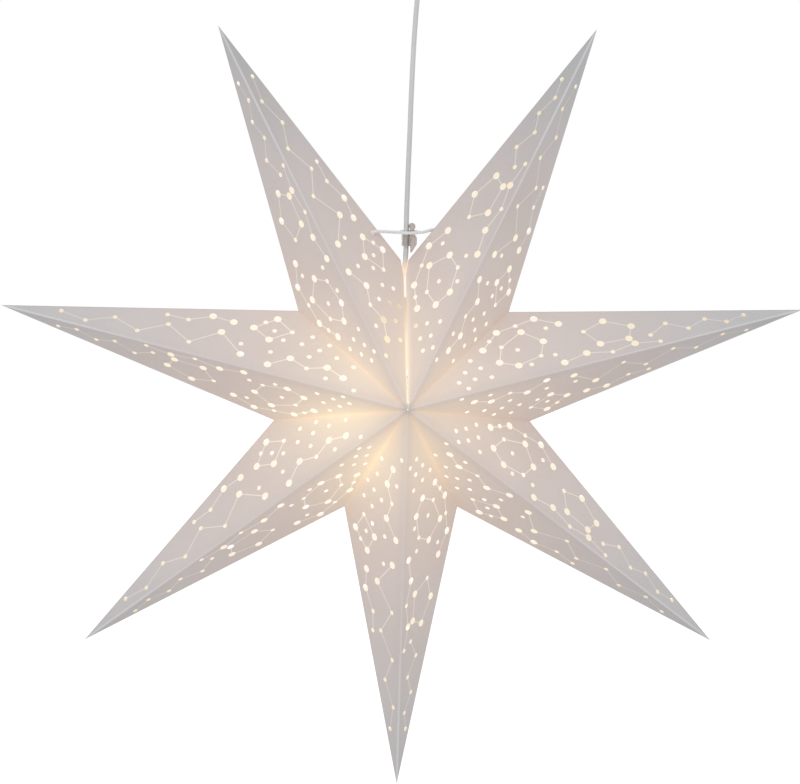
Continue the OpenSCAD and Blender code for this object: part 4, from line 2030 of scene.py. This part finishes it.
@dataclass(frozen=True)
class CeilingFitting:
    """Cup, plate and grip that hold the cord at the ceiling."""

    cup_r: float = 0.033
    cup_h: float = 0.037
    cup_round: float = 0.014
    cup_steps: int = 18
    cup_sides: int = 128
    edge: float = 0.0004
    fine_edge: float = 0.0003
    flange_edge: float = 0.0008
    wall: float = 0.0018
    gap: float = 0.0006
    nipple_r: float = 0.005
    nipple_up: float = 0.007
    nipple_fit: float = 0.00015
    entry_r: float = 0.003
    flange_r: float = 0.008
    flange_h: float = 0.003
    taper_r: float = 0.0064
    mouth_r: float = 0.0044
    mouth_flare: Spot = (0.0005, 0.0012)
    grip_len: float = 0.025
    grip_sides: int = 64
    grooves: int = 6
    groove_steps: int = 10
    groove_deep: float = 0.0007
    head_r: float = 0.003
    head_t: float = 0.0018
    head_rings: tuple[float, ...] = (0.16, 0.4, 0.6, 0.78, 0.92)
    head_arch: float = 0.45
    head_edge: float = 0.5
    head_steps: int = 12
    screw_r: float = 0.0015
    screw_sides: int = 20
    screw_z: float = -0.009
    screw_in: float = 0.0268
    slot_w: float = 0.0008
    slot_draft: float = 0.94
    slot_floor: float = 0.45
    slot_most: float = 0.98
    slot_steps: int = 3

    def cup_line(self, wall: float) -> list[Spot]:
        """The rounded corner of the cup, a wall's thickness inside the outer one.

        Args:
            wall: The thickness.

        Returns:
            The points from the side to the floor.
        """
        middle = (self.cup_r - self.cup_round, -self.cup_h + self.cup_round)
        reach = self.cup_round - wall
        angles = [math.pi / 2 * k / self.cup_steps for k in range(self.cup_steps + 1)]
        return [(middle[0] + reach * math.cos(a), middle[1] - reach * math.sin(a)) for a in angles]

    def build_cup(self) -> bpy.types.Object:
        """The cup that hides the terminals.

        Returns:
            The piece.
        """
        hole = self.nipple_r + self.nipple_fit
        rim = -self.gap
        line = [(self.cup_r - self.edge, rim), (self.cup_r, rim - self.edge)] + self.cup_line(0)
        line += [(hole, -self.cup_h), (hole, -self.cup_h + self.wall)] + self.cup_line(self.wall)[::-1]
        line.append((self.cup_r - self.wall, rim))
        shape = Shape()
        shape.skin(turned(line, Vector(), self.cup_sides), closed=True)
        return shape.piece("round_ceiling_cup", (WHITE_PLASTIC,), "fitting", "holder", ["ceiling_cup"])

    def build_grip(self) -> bpy.types.Object:
        """The grip's nipple, flange and grooved taper.

        Returns:
            The piece.
        """
        low = -self.cup_h - self.grip_len
        neck = -self.cup_h - self.flange_h
        high = -self.cup_h + self.wall + self.nipple_up
        line = rounded([
            (self.entry_r, high, self.fine_edge), (self.nipple_r, high, self.edge),
            (self.nipple_r, -self.cup_h, 0), (self.flange_r, -self.cup_h, self.edge),
            (self.flange_r, neck, self.flange_edge), (self.taper_r, neck, self.fine_edge),
        ])[:-1]
        steps = self.groove_steps * self.grooves
        for i in range(steps + 1):
            t = i / steps
            deep = self.groove_deep * math.sqrt(max(0.0, math.sin(math.tau * self.grooves * t)))
            radius = self.taper_r + (self.mouth_r - self.taper_r) * t - deep
            line.append((radius, neck + (low - neck) * t))
        wider, higher = self.mouth_flare
        line += [(self.entry_r + wider, low), (self.entry_r, low + higher)]
        shape = Shape()
        shape.skin(turned(line, Vector(), self.grip_sides), closed=True)
        return shape.piece("grooved_cord_grip", (WHITE_PLASTIC,), "fitting", "holder", ["cord_grip"])

    def head_ring(self, reach: float, rise: float, floor: float) -> list[Place]:
        """One ring of a slotted screw head.

        Args:
            reach: The ring's radius.
            rise: Its height above the head's seat.
            floor: Height of the slot's floor.

        Returns:
            Across the head in two directions, and the height.
        """
        edge = math.asin(min(self.slot_most, self.slot_w / 2 / reach))
        foot = edge * self.slot_draft
        ring = []
        for start in (0, math.pi):
            for k in range(self.head_steps + 1):
                angle = start + edge + (math.pi - 2 * edge) * k / self.head_steps
                ring.append((reach * math.cos(angle), reach * math.sin(angle), rise))
            for k in range(self.slot_steps + 1):
                angle = start + math.pi - foot + 2 * foot * k / self.slot_steps
                ring.append((reach * math.cos(angle), reach * math.sin(angle), min(rise, floor)))
        return ring

    def build_screws(self) -> bpy.types.Object:
        """Two slotted screws through the cup's side.

        Returns:
            The piece.
        """
        shape = Shape()
        floor = self.head_t * self.slot_floor
        for way in (-1, 1):
            seat = Vector((way * self.cup_r, 0, self.screw_z))
            rows = []
            for share in self.head_rings:
                rise = self.head_t * (1 - self.head_arch + self.head_arch * math.sqrt(1 - share**2))
                rows.append(self.head_ring(self.head_r * share, rise, floor))
            rows.append(self.head_ring(self.head_r, self.head_t * self.head_edge, floor))
            rows.append(self.head_ring(self.head_r, 0.0, 0.0))
            rings = [[seat + Vector((way * z, x, y)) for x, y, z in row] for row in rows]
            shape.skin(rings)
            path = [Vector((way * x, 0, self.screw_z)) for x in (self.screw_in, self.cup_r)]
            shape.sweep(path, circle(self.screw_r, self.screw_sides), Vector((0, 0, 1)))
        return shape.piece("slotted_cup_screws", (NICKEL,), "fitting", "steel", ["cup_screws"])

    def build(self) -> list[bpy.types.Object]:
        """Make the fitting.

        Returns:
            The pieces at the cord's end.
        """
        inner = {
            "ceiling_plate": ZINC, "grip_nut": NICKEL,
            "terminal_block": IVORY_PLASTIC, "terminal_screws": NICKEL,
        }
        dress(inner)
        pieces = [self.build_cup(), self.build_grip(), self.build_screws()]
        return pieces + [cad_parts[node] for node in inner]


@dataclass(frozen=True)
class Studio:
    """Camera at the photograph's angle, soft light, a white surround and a pale floor.

    The camera aims a little past the centre: aside and above are in pixels of the picture, and pixel is the
    length of one at the star.
    """

    centre: Place
    azimuth: float = math.radians(-3.04)
    elevation: float = math.radians(10.91)
    roll: float = math.radians(0.85)
    distance: float = 3.0036
    lens: float = 180.0
    sensor: float = 36.0
    clip_end: float = 100.0
    pixel: float = 0.0007509
    aside: float = 2.57
    above: float = 1.7
    floor_z: float = -1.75
    floor_size: float = 14.0
    key_way: Place = (-0.2, -0.8, 0.54)
    key_distance: float = 2.6
    key_size: float = 1.8
    key_power: float = 9.0
    key_colour: Colour = (0.86, 0.92, 1.0)
    surround: Colour = (0.9, 0.9, 0.9)
    white: Colour = (1.0, 1.0, 1.0)

    def build_camera(self) -> None:
        """Place the camera."""
        flat = math.cos(self.elevation)
        sine = math.sin(self.azimuth)
        cosine = math.cos(self.azimuth)
        back = Vector((sine * flat, -cosine * flat, math.sin(self.elevation)))
        right = Vector((cosine, sine, 0))
        up = back.cross(right)
        rolled = right * math.cos(self.roll) + up * math.sin(self.roll)
        upright = back.cross(rolled)
        aim = Vector(self.centre) - rolled * (self.aside * self.pixel) - upright * (self.above * self.pixel)
        held = bpy.data.cameras.new("camera")
        held.lens = self.lens
        held.sensor_width = self.sensor
        held.clip_end = self.clip_end
        camera = bpy.data.objects.new("camera", held)
        turn = Matrix((rolled, upright, back)).transposed()
        camera.matrix_world = Matrix.Translation(aim + back * self.distance) @ turn.to_4x4()
        bpy.context.scene.collection.objects.link(camera)
        bpy.context.scene.camera = camera

    def build_light(self) -> None:
        """One large soft lamp from the upper left, and an even surround that shows white."""
        key = bpy.data.lights.new("soft key", "AREA")
        key.energy = self.key_power
        key.size = self.key_size
        key.color = self.key_colour
        lamp = bpy.data.objects.new("soft_key", key)
        way = Vector(self.key_way).normalized()
        lamp.location = Vector(self.centre) + way * self.key_distance
        lamp.rotation_euler = way.to_track_quat("Z", "Y").to_euler()
        bpy.context.scene.collection.objects.link(lamp)
        world = bpy.data.worlds.new("white surround")
        world.use_nodes = True
        shader = Shader(world.node_tree)
        colour = shader.mix(shader.background_ray(), self.surround, self.white)
        light = shader.add("ShaderNodeBackground", {}, {"Color": colour, "Strength": 1.0})
        shader.add("ShaderNodeOutputWorld", {}, {"Surface": light})
        bpy.context.scene.world = world
        bpy.context.scene.view_settings.view_transform = "Standard"

    def build_floor(self) -> None:
        """Pale floor below the star."""
        half = self.floor_size / 2
        mesh = bpy.data.meshes.new("floor")
        corners = [(-half, -half), (half, -half), (half, half), (-half, half)]
        mesh.from_pydata([(x, y, self.floor_z) for x, y in corners], [], [(0, 1, 2, 3)])
        mesh.materials.append(FLOOR.material())
        floor = bpy.data.objects.new("floor", mesh)
        bpy.context.scene.collection.objects.link(floor)


def main() -> None:
    """Build the studio and the star lantern, piece by piece."""
    logging.basicConfig(level=logging.INFO, format="%(name)s: %(message)s")
    sheet = FoldedSheet()
    studio = Studio(sheet.centre)
    studio.build_camera()
    ceiling = CeilingFitting().build()
    cord = SupplyCord()
    cord.build(ceiling)
    cord.build_cores()
    punching = Punching(sheet)
    PaperStar(sheet, punching).build()
    Tie(sheet, punching).build()
    Hook().build()
    Lamp().build()
    studio.build_light()
    studio.build_floor()


if __name__ == "__main__":
    main()
